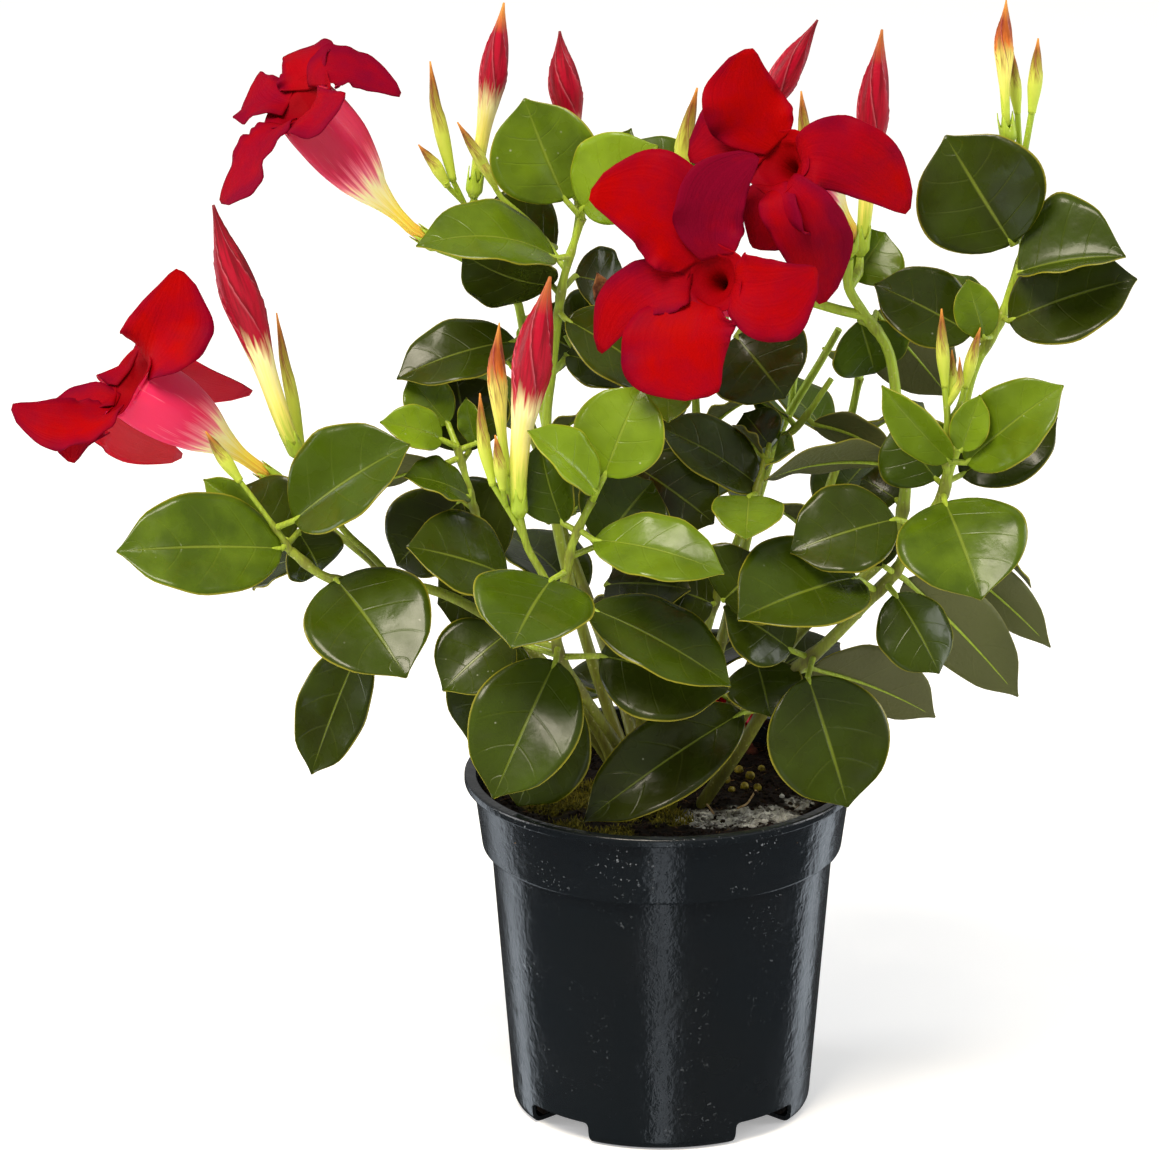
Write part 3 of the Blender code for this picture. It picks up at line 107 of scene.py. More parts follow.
PETAL_LEAN_FULLNESS = 0.65
PETAL_FULL_FULLNESS = 0.6
PETAL_FULL_SKEW = 1.7
FALLEN_ROOT_RADIUS = 6.0
FUNNEL_WALL = 0.9
FUNNEL_FLOOR = 0.33
BUD_PROFILE = ((0.0, 0.40), (0.14, 0.46), (0.31, 0.54), (0.47, 0.82), (0.62, 1.0), (0.76, 0.78),
               (0.89, 0.36), (1.0, 0.08))
SMALL_BUD_PROFILE = ((0.0, 0.55), (0.4, 1.0), (0.72, 0.66), (1.0, 0.12))

# What only the finished skins have, sizes in mm and shares of a length or a radius
MERGE_DISTANCE = 0.001 * MM
STEM_BROWN_BELOW = 260.0
JOINT_REACH = 2.2
JOINT_TONE = 0.4
STALK_FOOT_SWELL = 1.15
RIB_STEPS = 13
RIB_SHARE = 0.62
RIB_END_RADIUS = 0.1
FOLD_ROUNDING = 0.03
BLADE_POINT = 0.4
BLADE_WAVES = (1.6, 3.2)
BLADE_SAG = (-0.03, 0.05)
SIDE_VEINS = 10.0
VEIN_LEAN = 0.2
VEIN_BEND = 1.3
QUILT_HEIGHT = 0.12
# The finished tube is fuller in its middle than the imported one
TUBE_PROFILE = ((0.0, 0.2), (0.2, 0.22), (0.34, 0.42), (0.5, 0.78), (0.68, 1.02), (0.86, 1.06), (1.0, 1.0))
TUBE_RINGS = 30
TUBE_PLEAT = 0.05
THROAT_PROFILE = ((0.0, 0.1), (0.6, 0.12), (0.78, 0.2), (0.9, 0.4), (1.0, 0.96))
COLLAR_ROWS = 6
PETAL_WAVES = (1.4, 2.4)
PETAL_FRILLS = (4.0, 6.0)
FRILL_SHARE = 0.45
PETAL_RIPPLE = 0.9
RIPPLE_WAVES = 0.09
PETAL_OVERLAP = 0.12
BUD_RIDGE_BEND = 1.6
SMALL_BUD_RIPENESS = 0.5
SMALL_BUD_ROWS = 24
CALYX_SIDES = 30
CALYX_ROWS = 9
CALYX_RADIUS = 2.9
CALYX_WALL = 0.35
SLOT_ROUNDING = 1.5
POT_SHARP_EDGE = math.radians(34.0)

Twig = namedtuple("Twig", "start_radius end_radius points")
Leaf = namedtuple("Leaf", "base tip width facing age fold arch", defaults=(10, 0.06))
Bud = namedtuple("Bud", "width points")
Shoot = namedtuple("Shoot", "twigs leaves small_buds")
Petal = namedtuple("Petal", "tip width facing full_side shade")
Bloom = namedtuple("Bloom", "tube throat_radius petals")

BRACT = Leaf((601, 305, -8), (597, 276, -12), 7.5, (0.3, -1.0, 0.2), 1.0, 28, 0.12)

# What lies on the soil: columns and rows of the photograph and radii in mm; a granule of kind 1 is bark
MOSS_SPOTS = ((555, 808, 13), (600, 800, 14), (640, 815, 12), (668, 822, 9), (560, 835, 10), (610, 840, 10))
GRIT_SPOTS = ((705, 822, 10), (740, 825, 12), (775, 820, 10), (800, 806, 7))
GRANULES = ((726, 785, 2.0, 0), (741, 776, 1.5, 0), (752, 782, 1.7, 0), (764, 775, 1.3, 0),
            (746, 792, 1.5, 0), (759, 793, 1.4, 0), (733, 795, 1.2, 0),
            (748, 757, 3.0, 1), (755, 760, 2.2, 1))
GRANULE_RINGS = 10
GRANULE_SIDES = 18
PALE_ROOTS = (((698, 806), (704, 809), (709, 814), (714, 821)),
              ((738, 816), (747, 812), (752, 806), (757, 799)))

# Shoots; each leaf has a darkness from 0, young and yellow-green, to 1, old and dark, which tells how old it
# is and is raised for leaves that lie in shade inside the plant: their dark green is partly painted shade
SHOOTS = {
    "left": Shoot(twigs=[
        Twig(2.1, 1.4, [(624, 806, -8), (604, 742, -12), (562, 682, -18), (505, 628, -24), (440, 592, -28),
                        (385, 584, -28), (330, 578, -26), (293, 551, -24)]),
        Twig(1.2, 1.1, [(400, 586, -26), (375, 558, -22), (345, 530, -14), (318, 490, -10), (304, 464, -10),
                        (301, 457, -10)]),
        Twig(1.2, 1.1, [(400, 586, -24), (372, 562, -14), (340, 536, -2), (305, 508, 2), (283, 486, 2)]),
        Twig(1.1, 1.0, [(293, 551, -24), (270, 532, -22), (250, 519, -20)]),
        Twig(1.0, 0.9, [(318, 490, -10), (309, 470, -4), (303, 452, -2)]),
        Twig(0.9, 0.8, [(293, 551, -24), (268, 515, -26), (242, 480, -26)]),
    ], leaves=[
        Leaf((284, 549, -26), (121, 552, -40), 37, (0, -7, 6), 0.42, 12, 0.05),
        Leaf((262, 518, -20), (206, 480, -16), 13, (-4, -6, 5), 0.2, 30, 0.05),
        Leaf((290, 541, -12), (250, 495, 6), 30, (-2, -7, 4), 0.9, 10, 0.1),
        Leaf((300, 532, -16), (320, 572, -4), 22, (2, -8, 2), 0.85, 10, 0.1),
        Leaf((305, 560, -12), (256, 583, 6), 20, (0, -5, 7), 0.85, 8, 0.1),
        Leaf((297, 521, -28), (413, 446, -34), 38, (-4, -7, 6), 0.55, 22),
        Leaf((338, 580, -30), (409, 677, -62), 43, (0, -6, 6), 0.7, 10, 0.08),
        Leaf((364, 640, -14), (311, 775, -16), 25, (-3, -8, 1), 0.88, 14),
    ], small_buds=[
        Bud(4.4, [(303, 454, -2), (294, 400, -2), (286, 360, -2), (279, 315, -2)]),
        Bud(4.6, [(243, 482, -26), (226, 458, -26), (210, 433, -27)]),
    ]),
    "left_inner": Shoot(twigs=[
        Twig(2.0, 1.0, [(632, 806, -2), (600, 748, -4), (545, 672, -8), (508, 600, -12), (484, 540, -16),
                        (473, 502, -17), (465, 472, -17), (458, 448, -17)]),
    ], leaves=[
        Leaf((443, 441, -20), (382, 424, -28), 16, (0, -7, 6), 0.12, 18, 0.1),
        Leaf((449, 425, -12), (410, 378, -6), 17, (-2, -7, 5), 0.3, 14, 0.08),
        Leaf((440, 467, -20), (329, 516, -22), 32, (0, 5, 7), 0.6, 14, 0.08),
        Leaf((470, 498, -24), (406, 478, -34), 20, (0, -4, 8), 0.5, 16, 0.08),
        Leaf((470, 452, -8), (456, 374, 2), 32, (0, -8, 3), 0.92, 10, 0.08),
        Leaf((477, 444, -14), (467, 399, -14), 9, (-2, -8, 2), 0.35, 20, 0.05),
        Leaf((462, 500, -6), (397, 566, 2), 30, (-4, -7, 1), 0.95, 14, 0.08),
        Leaf((508, 576, -30), (408, 547, -42), 34, (0, -6, 8), 0.78, 14, 0.05),
        Leaf((494, 586, -14), (438, 604, -12), 28, (0, -8, 4), 0.95, 8, 0.05),
        Leaf((500, 560, -6), (436, 486, 4), 36, (0, -8, 4), 0.9, 10, 0.08),
    ], small_buds=[]),
    "upper_left": Shoot(twigs=[
        Twig(2.2, 1.2, [(640, 804, 6), (612, 720, 8), (580, 620, 6), (556, 520, 4), (547, 430, 2),
                        (552, 375, 0), (557, 330, -2), (563, 285, -4), (576, 240, -4), (582, 222, -4)]),
        Twig(1.6, 1.3, [(547, 430, 2), (537, 380, 8), (523, 325, 10), (516, 300, 10), (497, 284, 6),
                        (466, 262, 2), (440, 252, -2)]),
        Twig(1.4, 1.2, [(516, 300, 10), (503, 262, 15), (484, 236, 15), (470, 218, 14), (475, 203, 12),
                        (474, 199, 12)]),
        Twig(1.0, 0.9, [(470, 218, 14), (462, 200, 12), (454, 184, 10)]),
        Twig(1.0, 0.9, [(554, 262, 4), (536, 232, 6), (516, 213, 8), (502, 201, 8), (492, 184, 8)]),
        Twig(1.2, 1.0, [(552, 375, 0), (566, 360, 8), (580, 346, 12)]),
        Twig(0.9, 0.8, [(462, 205, 13), (449, 190, 8), (447, 186, 7)]),
        Twig(1.3, 1.3, [(576, 240, -4), (579, 220, 6), (579, 203, 9)]),
    ], leaves=[
        Leaf((556, 262, -10), (418, 252, -26), 30, (0, -4, 8), 0.35, 12, 0.14),
        Leaf((556, 250, 10), (478, 222, 20), 32, (0, -7, 5), 0.9, 10, 0.08),
        Leaf((552, 287, 4), (450, 252, 2), 30, (0, -6, -4), 0.9, 8, 0.08),
        Leaf((566, 205, -6), (525, 105, -4), 37, (-2, -8, 3), 0.32, 12),
        Leaf((582, 214, -14), (657, 153, -20), 31, (-3, -8, 4), 0.08, 16, 0.1),
        Leaf((596, 205, 10), (631, 132, 16), 15, (2, -6, 5), 0.5, 14, 0.08),
        Leaf((575, 278, 8), (625, 292, 20), 24, (0, -7, 5), 0.9, 10, 0.08),
        Leaf((566, 322, -8), (668, 392, -14), 28, (2, -6, 7), 0.82, 12),
        Leaf((516, 343, 0), (398, 381, -12), 25, (0, -5, 7), 0.85, 12, 0.08),
        Leaf((527, 325, 18), (578, 352, 24), 26, (0, -8, 4), 0.92),
        Leaf((566, 338, 10), (622, 308, 22), 24, (0, -7, 5), 0.9, 10, 0.08),
        Leaf((566, 356, 8), (632, 380, 12), 20, (0, -6, 6), 0.9, 10, 0.08),
    ], small_buds=[
        Bud(4.8, [(454, 184, 10), (446, 150, 10), (437, 110, 9), (432, 68, 8)]),
        Bud(4.2, [(449, 190, 8), (436, 168, 8), (420, 149, 8)]),
        Bud(4.2, [(493, 186, 8), (478, 158, 3), (459, 128, 1)]),
        Bud(3.2, [(497, 193, 8), (486, 172, 4), (474, 149, 3)]),
    ]),
    "front": Shoot(twigs=[
        Twig(2.2, 1.2, [(652, 808, -14), (622, 752, -26), (582, 692, -38), (558, 648, -46), (560, 605, -52),
                        (568, 566, -56), (572, 546, -57), (582, 522, -57), (592, 502, -57)]),
        Twig(1.3, 1.2, [(560, 605, -52), (543, 574, -54), (528, 547, -56), (521, 517, -57)]),
        Twig(1.0, 0.9, [(532, 554, -56), (516, 522, -57), (494, 486, -57)]),
        Twig(1.1, 1.0, [(528, 548, -54), (518, 520, -49), (512, 493, -48)]),
        Twig(0.9, 0.9, [(508, 508, -57), (504, 490, -61)]),
    ], leaves=[
        Leaf((552, 580, -62), (513, 647, -92), 41, (0, -5, 8), 0.5, 10, 0.08),
        Leaf((556, 660, -54), (494, 796, -76), 37, (-1, -8, 3), 0.74),
        Leaf((565, 690, -36), (518, 806, -36), 36, (-2, -8, 3), 0.9, 8, 0.05),
        Leaf((600, 655, -50), (728, 690, -60), 38, (1, -8, 5), 0.86, 14, 0.08),
        Leaf((590, 608, -56), (729, 685, -72), 31, (2, -5, 8), 0.72, 10, 0.05),
        Leaf((594, 541, -62), (722, 574, -78), 26, (0, -6, 8), 0.28, 12, 0.08),
        Leaf((604, 478, -54), (641, 389, -46), 31, (-2, -8, 3), 0.16),
        Leaf((595, 494, -62), (528, 434, -66), 22, (2, -5, 8), 0.08, 24),
        Leaf((563, 524, -54), (541, 444, -48), 24, (-4, -8, 1), 0.62, 24),
        Leaf((600, 545, -44), (652, 482, -36), 34, (0, -8, 4), 0.72),
        Leaf((518, 642, -32), (470, 742, -38), 31, (-2, -8, 2), 0.88),
        Leaf((508, 633, -40), (444, 690, -52), 29, (-2, -7, 5), 0.8, 14),
    ], small_buds=[
        Bud(4.4, [(494, 487, -57), (486, 450, -57), (483, 420, -57), (482, 397, -57)]),
        Bud(4.2, [(504, 492, -61), (501, 465, -62), (497, 438, -62)]),
    ]),
    "centre": Shoot(twigs=[
        Twig(2.0, 1.1, [(650, 802, 0), (642, 730, -6), (628, 640, -14), (616, 560, -18), (616, 500, -20),
                        (628, 456, -20), (650, 412, -18), (664, 380, -16)]),
    ], leaves=[
        Leaf((667, 384, -22), (667, 425, -36), 16, (0, -7, 5), 0.26, 12),
        Leaf((636, 468, -28), (712, 524, -38), 31, (0, -7, 6), 0.93),
        Leaf((606, 585, -26), (690, 590, -36), 34, (0, -5, 8), 0.97),
        Leaf((640, 430, -14), (690, 432, -10), 22, (0, -6, 6), 0.95),
    ], small_buds=[]),
    "middle": Shoot(twigs=[
        Twig(2.0, 1.1, [(672, 806, -8), (680, 740, -16), (696, 668, -24), (716, 596, -28), (738, 535, -28),
                        (754, 494, -26), (764, 462, -20)]),
    ], leaves=[
        Leaf((747, 498, -36), (743, 541, -58), 24, (0, -6, 8), 0.26, 12),
        Leaf((758, 488, -22), (654, 441, -30), 27, (0, -5, 8), 0.82, 12),
        Leaf((712, 604, -30), (668, 584, -32), 26, (0, -6, 7), 0.9),
        Leaf((768, 446, -8), (743, 414, -2), 18, (0, -7, 5), 0.9),
        Leaf((760, 456, -16), (729, 430, -16), 11, (0, 3, 8), 0.6),
        Leaf((772, 462, -24), (792, 452, -34), 16, (0, -5, 6), 0.45, 20),
        Leaf((722, 600, -40), (765, 560, -46), 32, (0, -8, 4), 0.85),
    ], small_buds=[]),
    "right": Shoot(twigs=[
        Twig(2.4, 1.3, [(704, 806, -6), (738, 752, -14), (782, 682, -24), (824, 644, -28), (862, 605, -28),
                        (893, 572, -26), (906, 548, -24), (925, 520, -24), (940, 495, -24), (944, 476, -24),
                        (956, 440, -20), (962, 402, -16), (973, 365, -14), (995, 325, -12), (1007, 290, -10),
                        (1018, 251, -10), (1015, 205, -10), (1013, 184, -10)]),
        Twig(1.2, 1.2, [(944, 476, -24), (940, 450, -28), (943, 425, -30), (940, 388, -30)]),
        Twig(1.2, 1.1, [(1013, 186, -10), (1008, 168, -12), (1003, 150, -12)]),
        Twig(1.1, 1.0, [(1018, 235, -10), (1016, 185, -5), (1013, 148, -5), (1011, 118, -5)]),
        Twig(1.1, 1.1, [(1014, 192, -10), (1018, 160, -10), (1025, 118, -10)]),
        Twig(1.0, 1.0, [(943, 425, -30), (954, 410, -26), (961, 388, -24)]),
    ], leaves=[
        Leaf((806, 676, -42), (846, 806, -52), 41, (1, -8, 3), 0.8, 8, 0.05),
        Leaf((812, 668, -14), (937, 718, -2), 31, (-1, 7, 4), 0.85),
        Leaf((756, 662, -24), (770, 718, -34), 26, (1, -8, 4), 0.84),
        Leaf((790, 650, -32), (722, 606, -34), 27, (0, -7, 6), 0.8, 12),
        Leaf((855, 578, -36), (711, 628, -54), 43, (0, -5, 8), 0.68, 18, 0.05),
        Leaf((892, 520, -34), (787, 553, -44), 33, (-1, -7, 6), 0.78, 14),
        Leaf((881, 566, -32), (872, 532, -26), 15, (-1, -8, 2), 0.92, 14),
        Leaf((892, 594, -34), (936, 673, -44), 27, (3, -7, 4), 0.76, -12),
        Leaf((904, 580, -20), (1018, 697, -18), 27, (-3, 7, 4), 0.5, 12, 0.08),
        Leaf((925, 545, -8), (1052, 648, 0), 20, (-3, 7, 5), 0.45, 12, 0.08),
        Leaf((935, 515, -8), (1032, 588, 6), 22, (7, 2, 6), 0.55),
        Leaf((941, 503, -32), (975, 600, -62), 44, (0, -6, 7), 0.4, 10, 0.07),
        Leaf((946, 462, -30), (877, 388, -36), 17, (-4, -6, 4), 0.22, 28),
        Leaf((934, 480, -18), (893, 424, -12), 28, (-2, -8, 3), 0.56),
        Leaf((962, 464, -28), (1057, 388, -34), 27, (-2, -8, 5), 0.28, 14),
        Leaf((958, 476, -14), (1055, 418, -4), 27, (1, -7, 5), 0.88),
        Leaf((957, 452, -30), (975, 397, -30), 14, (0, -8, 3), 0.12, 24),
        Leaf((1006, 249, -16), (938, 140, -8), 44, (-2, -8, 4), 0.86, 6, 0.05),
        Leaf((1012, 277, -18), (1118, 262, -24), 46, (0, -4, 8), 0.7, 38),
        Leaf((1004, 324, -16), (1130, 283, -20), 34, (0, -7, 6), 0.88, 14, 0.07),
        Leaf((968, 336, -8), (871, 287, -4), 27, (0, -7, 5), 0.78, 12, 0.07),
        Leaf((979, 340, -22), (962, 283, -22), 15, (-1, -8, 3), 0.3, 12),
        Leaf((988, 318, -4), (922, 283, 10), 16, (0, -4, 8), 0.35),
        Leaf((742, 712, -28), (583, 821, -47), 29, (0, -7, 5), 0.95, 12, 0.08),
    ], small_buds=[
        Bud(4.2, [(1011, 120, -5), (1008, 90, -5), (1006, 60, -5)]),
        Bud(4.8, [(1025, 120, -10), (1028, 85, -10), (1030, 48, -10)]),
        Bud(4.4, [(940, 390, -30), (937, 350, -30), (936, 313, -30)]),
        Bud(3.4, [(943, 400, -28), (948, 378, -26), (947, 353, -26)]),
        Bud(4.2, [(961, 390, -24), (967, 360, -24), (975, 331, -24)]),
        Bud(2.8, [(948, 410, -30), (955, 385, -32), (954, 360, -32)]),
    ]),
    "right_inner": Shoot(twigs=[
        Twig(2.4, 1.6, [(692, 800, 10), (742, 718, 10), (798, 634, 6), (852, 588, 2), (892, 545, 0),
                        (905, 482, 0), (898, 428, 0), (887, 355, -2), (863, 318, -4), (846, 290, -5),
                        (846, 262, -6)]),
        Twig(1.7, 1.6, [(863, 318, -4), (835, 312, -6), (807, 304, -8)]),
        Twig(1.4, 1.3, [(846, 292, -5), (856, 275, 2), (858, 260, 6)]),
    ], leaves=[
        Leaf((874, 314, 6), (948, 397, 12), 28, (-3, 7, 4), 0.9),
        Leaf((852, 282, 6), (884, 234, 12), 26, (0, -8, 4), 0.34),
        Leaf((858, 322, 6), (874, 374, 12), 28, (1, -8, 3), 0.5, 16),
        Leaf((888, 464, -6), (762, 482, -28), 26, (0, 6, 6), 0.6, 10, 0.07),
        Leaf((897, 500, 8), (862, 478, 14), 22, (0, -7, 5), 0.9),
        Leaf((846, 594, 12), (842, 628, 20), 14, (2, 7, 4), 0.5),
    ], small_buds=[]),
    "centre_back": Shoot(twigs=[
        Twig(2.2, 1.2, [(676, 798, 16), (700, 720, 20), (728, 620, 20), (752, 520, 18), (774, 448, 16),
                        (790, 412, 16), (820, 362, 16), (838, 330, 14)]),
        Twig(1.6, 1.1, [(774, 448, 16), (766, 380, 22), (744, 300, 26), (718, 240, 22), (697, 212, 18),
                        (684, 196, 16)]),
        Twig(1.3, 1.3, [(718, 240, 22), (717, 210, 26), (716, 184, 26)]),
        Twig(1.2, 0.9, [(790, 412, 16), (800, 330, 24), (808, 250, 22), (806, 186, 18)]),
        Twig(1.2, 1.0, [(774, 448, 10), (801, 422, 4), (830, 380, 2)]),
        Twig(1.0, 0.9, [(697, 212, 18), (703, 200, 18), (706, 190, 18)]),
    ], leaves=[
        Leaf((735, 338, 4), (784, 400, -8), 36, (0, -7, 5), 0.92),
        Leaf((788, 418, 8), (706, 384, 2), 18, (0, 0, 9), 0.4),
        Leaf((694, 206, 24), (633, 142, 30), 22, (0, -5, 7), 0.45, 12, 0.08),
        Leaf((770, 452, 6), (756, 396, 8), 18, (4, -6, 3), 0.5, 24),
        Leaf((812, 424, 2), (893, 462, -2), 18, (0, 7, 5), 0.6, 10, 0.1),
        Leaf((690, 212, 28), (676, 170, 34), 18, (0, -7, 4), 0.6, 12, 0.08),
    ], small_buds=[
        Bud(5.8, [(682, 194, 16), (682, 150, 16), (690, 118, 15), (696, 93, 14)]),
        Bud(5.4, [(706, 192, 18), (708, 160, 18), (710, 125, 18)]),
        Bud(3.0, [(692, 205, 17), (698, 178, 14), (702, 154, 12)]),
        Bud(5.0, [(806, 188, 18), (804, 150, 17), (799, 96, 15)]),
    ]),
}

# Large buds: the shoot each one grows on, its points from calyx to tip, and how far it has coloured
LARGE_BUDS = {
    "bud_left": ("left", Bud(13.0, [(301, 458, -10), (286, 425, -12), (268, 370, -14), (247, 305, -14),
                                    (230, 255, -16), (219, 211, -18)]), 1.0),
    "bud_top_left": ("upper_left", Bud(9.2, [(474, 200, 12), (480, 160, 12), (489, 110, 10), (496, 70, 9),
                                             (505, 11, 8)]), 0.62),
    "bud_top_centre": ("upper_left", Bud(10.8, [(579, 204, 9), (574, 160, 11), (568, 110, 12), (562, 70, 12),
                                                (560, 38, 12)]), 1.0),
    "bud_top_slanted": ("centre_back", Bud(9.8, [(716, 184, 26), (738, 148, 26), (764, 110, 24),
                                                 (790, 68, 22), (815, 26, 20)]), 1.0),
    "bud_top_right": ("right_inner", Bud(10.6, [(858, 258, 6), (863, 215, 8), (866, 165, 8), (870, 110, 8),
                                                (878, 37, 8)]), 0.78),
    "bud_right_young": ("right", Bud(6.3, [(1003, 150, -12), (999, 125, -12), (997, 90, -12), (996, 50, -12),
                                           (998, 11, -12)]), 0.3),
    "bud_front_young": ("front", Bud(6.4, [(512, 494, -48), (504, 445, -48), (500, 405, -48),
                                           (498, 365, -49), (501, 328, -50)]), 0.25),
    "bud_front": ("front", Bud(13.0, [(521, 518, -57), (519, 480, -57), (522, 440, -58), (528, 400, -58),
                                      (537, 345, -58), (551, 284, -58)]), 0.8),
}

# Blooms: the shoot each one grows on, its tube from calyx to throat, and its petals; a petal's shade runs
# from 0, bright red, to 1, crimson-purple
BLOOMS = {
    "bloom_centre": ("right_inner", Bloom(
        [(806, 304, -8), (778, 305, -14), (738, 296, -28), (709, 286, -46)], 9.5, [
            Petal((595, 208, -44), 31, (-1, -8, 3), -1, 0.15),
            Petal((750, 172, -44), 21, (2, -8, 4), 1, 0.9),
            Petal((805, 278, -54), 26, (1, -8, 3), -1, 0.2),
            Petal((711, 391, -60), 35, (0, -8, 4), -1, 0.1),
            Petal((604, 352, -42), 17, (-2, -8, 2), -1, 0.45),
        ])),
    "bloom_right": ("right_inner", Bloom(
        [(847, 258, -6), (848, 230, -9), (828, 204, -15), (802, 186, -22), (777, 172, -32)], 9.0, [
            Petal((748, 66, -26), 25, (0, -8, 3), 1, 0.1),
            Petal((896, 217, -34), 23, (1, -8, 2), 1, 0.2),
            Petal((815, 304, -34), 23, (1, -8, 3), 1, 0.5),
            Petal((752, 250, -32), 23, (0, -8, 3), 1, 0.7),
            Petal((694, 166, -20), 23, (-2, -8, 3), -1, 0.5),
        ])),
    "bloom_left": ("left", Bloom(
        [(283, 485, 2), (255, 465, 0), (226, 444, -3), (185, 416, -7), (134, 386, -11)], 11.0, [
            Petal((180, 279, -12), 25, (-1, -8, 1), -1, 0.3),
            Petal((24, 408, -18), 19, (-4, -6, 5), 1, 0.4),
            Petal((78, 457, -14), 20, (-3, -8, 0), -1, 0.4),
            Petal((178, 452, 20), 16, (-8, 3, -2), 1, 0.5),
            Petal((247, 390, 24), 21, (1, -8, -2), 1, 0.6),
        ])),
    "bloom_top_left": ("upper_left", Bloom(
        [(441, 251, -2), (412, 231, -4), (372, 192, -7), (338, 148, -10), (306, 112, -13)], 10.5, [
            Petal((229, 202, -22), 20, (-6, -6, 5), 1, 0.6),
            Petal((346, 107, -40), 17, (-3, -5, 7), -1, 0.5),
            Petal((397, 101, -8), 16, (2, -3, 8), 1, 0.7),
            Petal((290, 63, 14), 18, (-5, 2, 6), -1, 0.6),
            Petal((265, 82, 12), 18, (-6, 3, 4), 1, 0.6),
        ])),
}

FALLEN_PETAL = Petal((757, 727, 49), 22, (0, -8, 4), 1, 0.2)
FALLEN_PETAL_ROOT = (774, 700, 40)
FALLEN_PETAL_AXIS = (0.0, -0.4, 1.0)

# Shoots at the back, which the photograph hides, in the same notation
BACK_TWIGS = {
    "back_left": [Twig(2.2, 1.2, [(644, 784, 18), (620, 690, 32), (588, 600, 48), (556, 510, 58),
                                  (532, 430, 62), (520, 372, 62)])],
    "back_middle": [Twig(2.2, 1.2, [(668, 772, 28), (672, 690, 46), (684, 600, 62), (694, 510, 70),
                                    (698, 420, 72), (694, 360, 70)])],
    "back_right": [Twig(2.2, 1.2, [(704, 780, 20), (742, 690, 36), (786, 600, 50), (824, 510, 58),
                                   (850, 430, 60), (862, 376, 58)])],
}
PAIR_PLACES = (0.28, 0.47, 0.66, 0.84, 1.0)
PAIR_BLADES = ((36, 27), (41, 31), (38, 29), (31, 24), (21, 14))
PAIR_AGES = (0.95, 0.85, 0.7, 0.5, 0.25)
PAIR_FIRST_TURN = math.radians(35.0)
PAIR_TURN = math.radians(97.0)
PAIR_STALK = 7.0
PAIR_RISE = 0.22
PAIR_RISE_STEP = 0.12
PAIR_LEAN = 0.3
PAIR_FOLD = 12
PAIR_ARCH = 0.08

# How a leaf may be bent about its foot to come clear: tilt away, roll and turn, in degrees
BEND_TILTS = (0, 7, -7, 14, -14, 21, -21, 30, -30, 40, -40, 52, -52)
BEND_ROLLS = (0, 16, -16, 34, -34)
BEND_TURNS = (0, 6, -6, 13, -13)
BEND_ROLL_COST = 0.8
BEND_TURN_COST = 2.4
LEAST_HINGE = 0.1
ON_SURFACE = 0.06


def photo_point(place):
    """The point at a pixel column and row of the photograph, at a depth in mm behind the pot's axis."""
    column, row, depth = place
    across = (column - AXIS_COLUMN) / PIXELS_PER_MM
    up = (FOOT_ROW - row) / PIXELS_PER_MM
    height = (up - depth * math.sin(VIEW_ELEVATION)) / math.cos(VIEW_ELEVATION)
    return Vector((across, depth, height)) * MM


def curve_between(before, start, end, after, t):
    """A smooth curve from start to end at t, which heads for the values before and after them."""
    bow = (2 * before - 5 * start + 4 * end - after) * t ** 2
    swing = (3 * start - before - 3 * end + after) * t ** 3
    return 0.5 * (2 * start + (end - before) * t + bow + swing)


def smooth_path(points, step):
    """Points about a step in mm apart on a smooth curve through the given points."""
    padded = [points[0] * 2 - points[1], *points, points[-1] * 2 - points[-2]]
    path = []
    for before, start, end, after in zip(padded, padded[1:], padded[2:], padded[3:]):
        count = max(1, round((end - start).length / (step * MM)))
        path += [curve_between(before, start, end, after, number / count) for number in range(count)]
    path.append(points[-1].copy())
    return path


def along_path(path, share):
    """The point at a share of a path's length."""
    lengths = [0.0]
    for start, end in zip(path, path[1:]):
        lengths.append(lengths[-1] + (end - start).length)
    goal = lengths[-1] * share
    for start, end, before, after in zip(path, path[1:], lengths, lengths[1:]):
        if goal <= after:
            return start.lerp(end, (goal - before) / (after - before))
    return path[-1].copy()


def path_length(path):
    """The length of a path in metres."""
    return sum((end - start).length for start, end in zip(path, path[1:]))


def trimmed(path, length):
    """A path without its first stretch of a length in mm."""
    share = length * MM / path_length(path)
    steps = 2 * len(path)
    return [along_path(path, share + (1.0 - share) * number / steps) for number in range(steps + 1)]


def frames_at(path, shares):
    """The points at shares of a path's length, each with its direction and two cross directions."""
    frames = []
    across = None
    for share in shares:
        ahead = along_path(path, min(share + FRAME_STEP, 1.0))
        behind = along_path(path, max(share - FRAME_STEP, 0.0))
        along = (ahead - behind).normalized()
        if across is None:
            across = along.cross(Vector((0.0, 1.0, 0.0))).normalized()
        across = (across - along * across.dot(along)).normalized()
        frames.append((along_path(path, share), along, across, along.cross(across)))
    return frames


def nearest_on_paths(paths, place):
    """The nearest point to a place on a set of paths."""
    best = None
    for path in paths:
        for start, end in zip(path, path[1:]):
            run = end - start
            share = min(max((place - start).dot(run) / run.length_squared, 0.0), 1.0)
            point = start + run * share
            if best is None or (point - place).length < (best - place).length:
                best = point
    return best


def eased(table, place):
    """A value between the (place, value) pairs of a table, on a smooth curve."""
    for (start, first), (end, second) in zip(table, table[1:]):
        if place <= end:
            number = table.index((start, first))
            before = table[max(number - 1, 0)][1]
            after = table[min(number + 2, len(table) - 1)][1]
            return curve_between(before, first, second, after, (place - start) / (end - start))
    return table[-1][1]


def smooth_step(low, high, value):
    """0 below low, 1 above high and an eased value between."""
    share = min(max((value - low) / (high - low), 0.0), 1.0)
    return share * share * (3.0 - 2.0 * share)


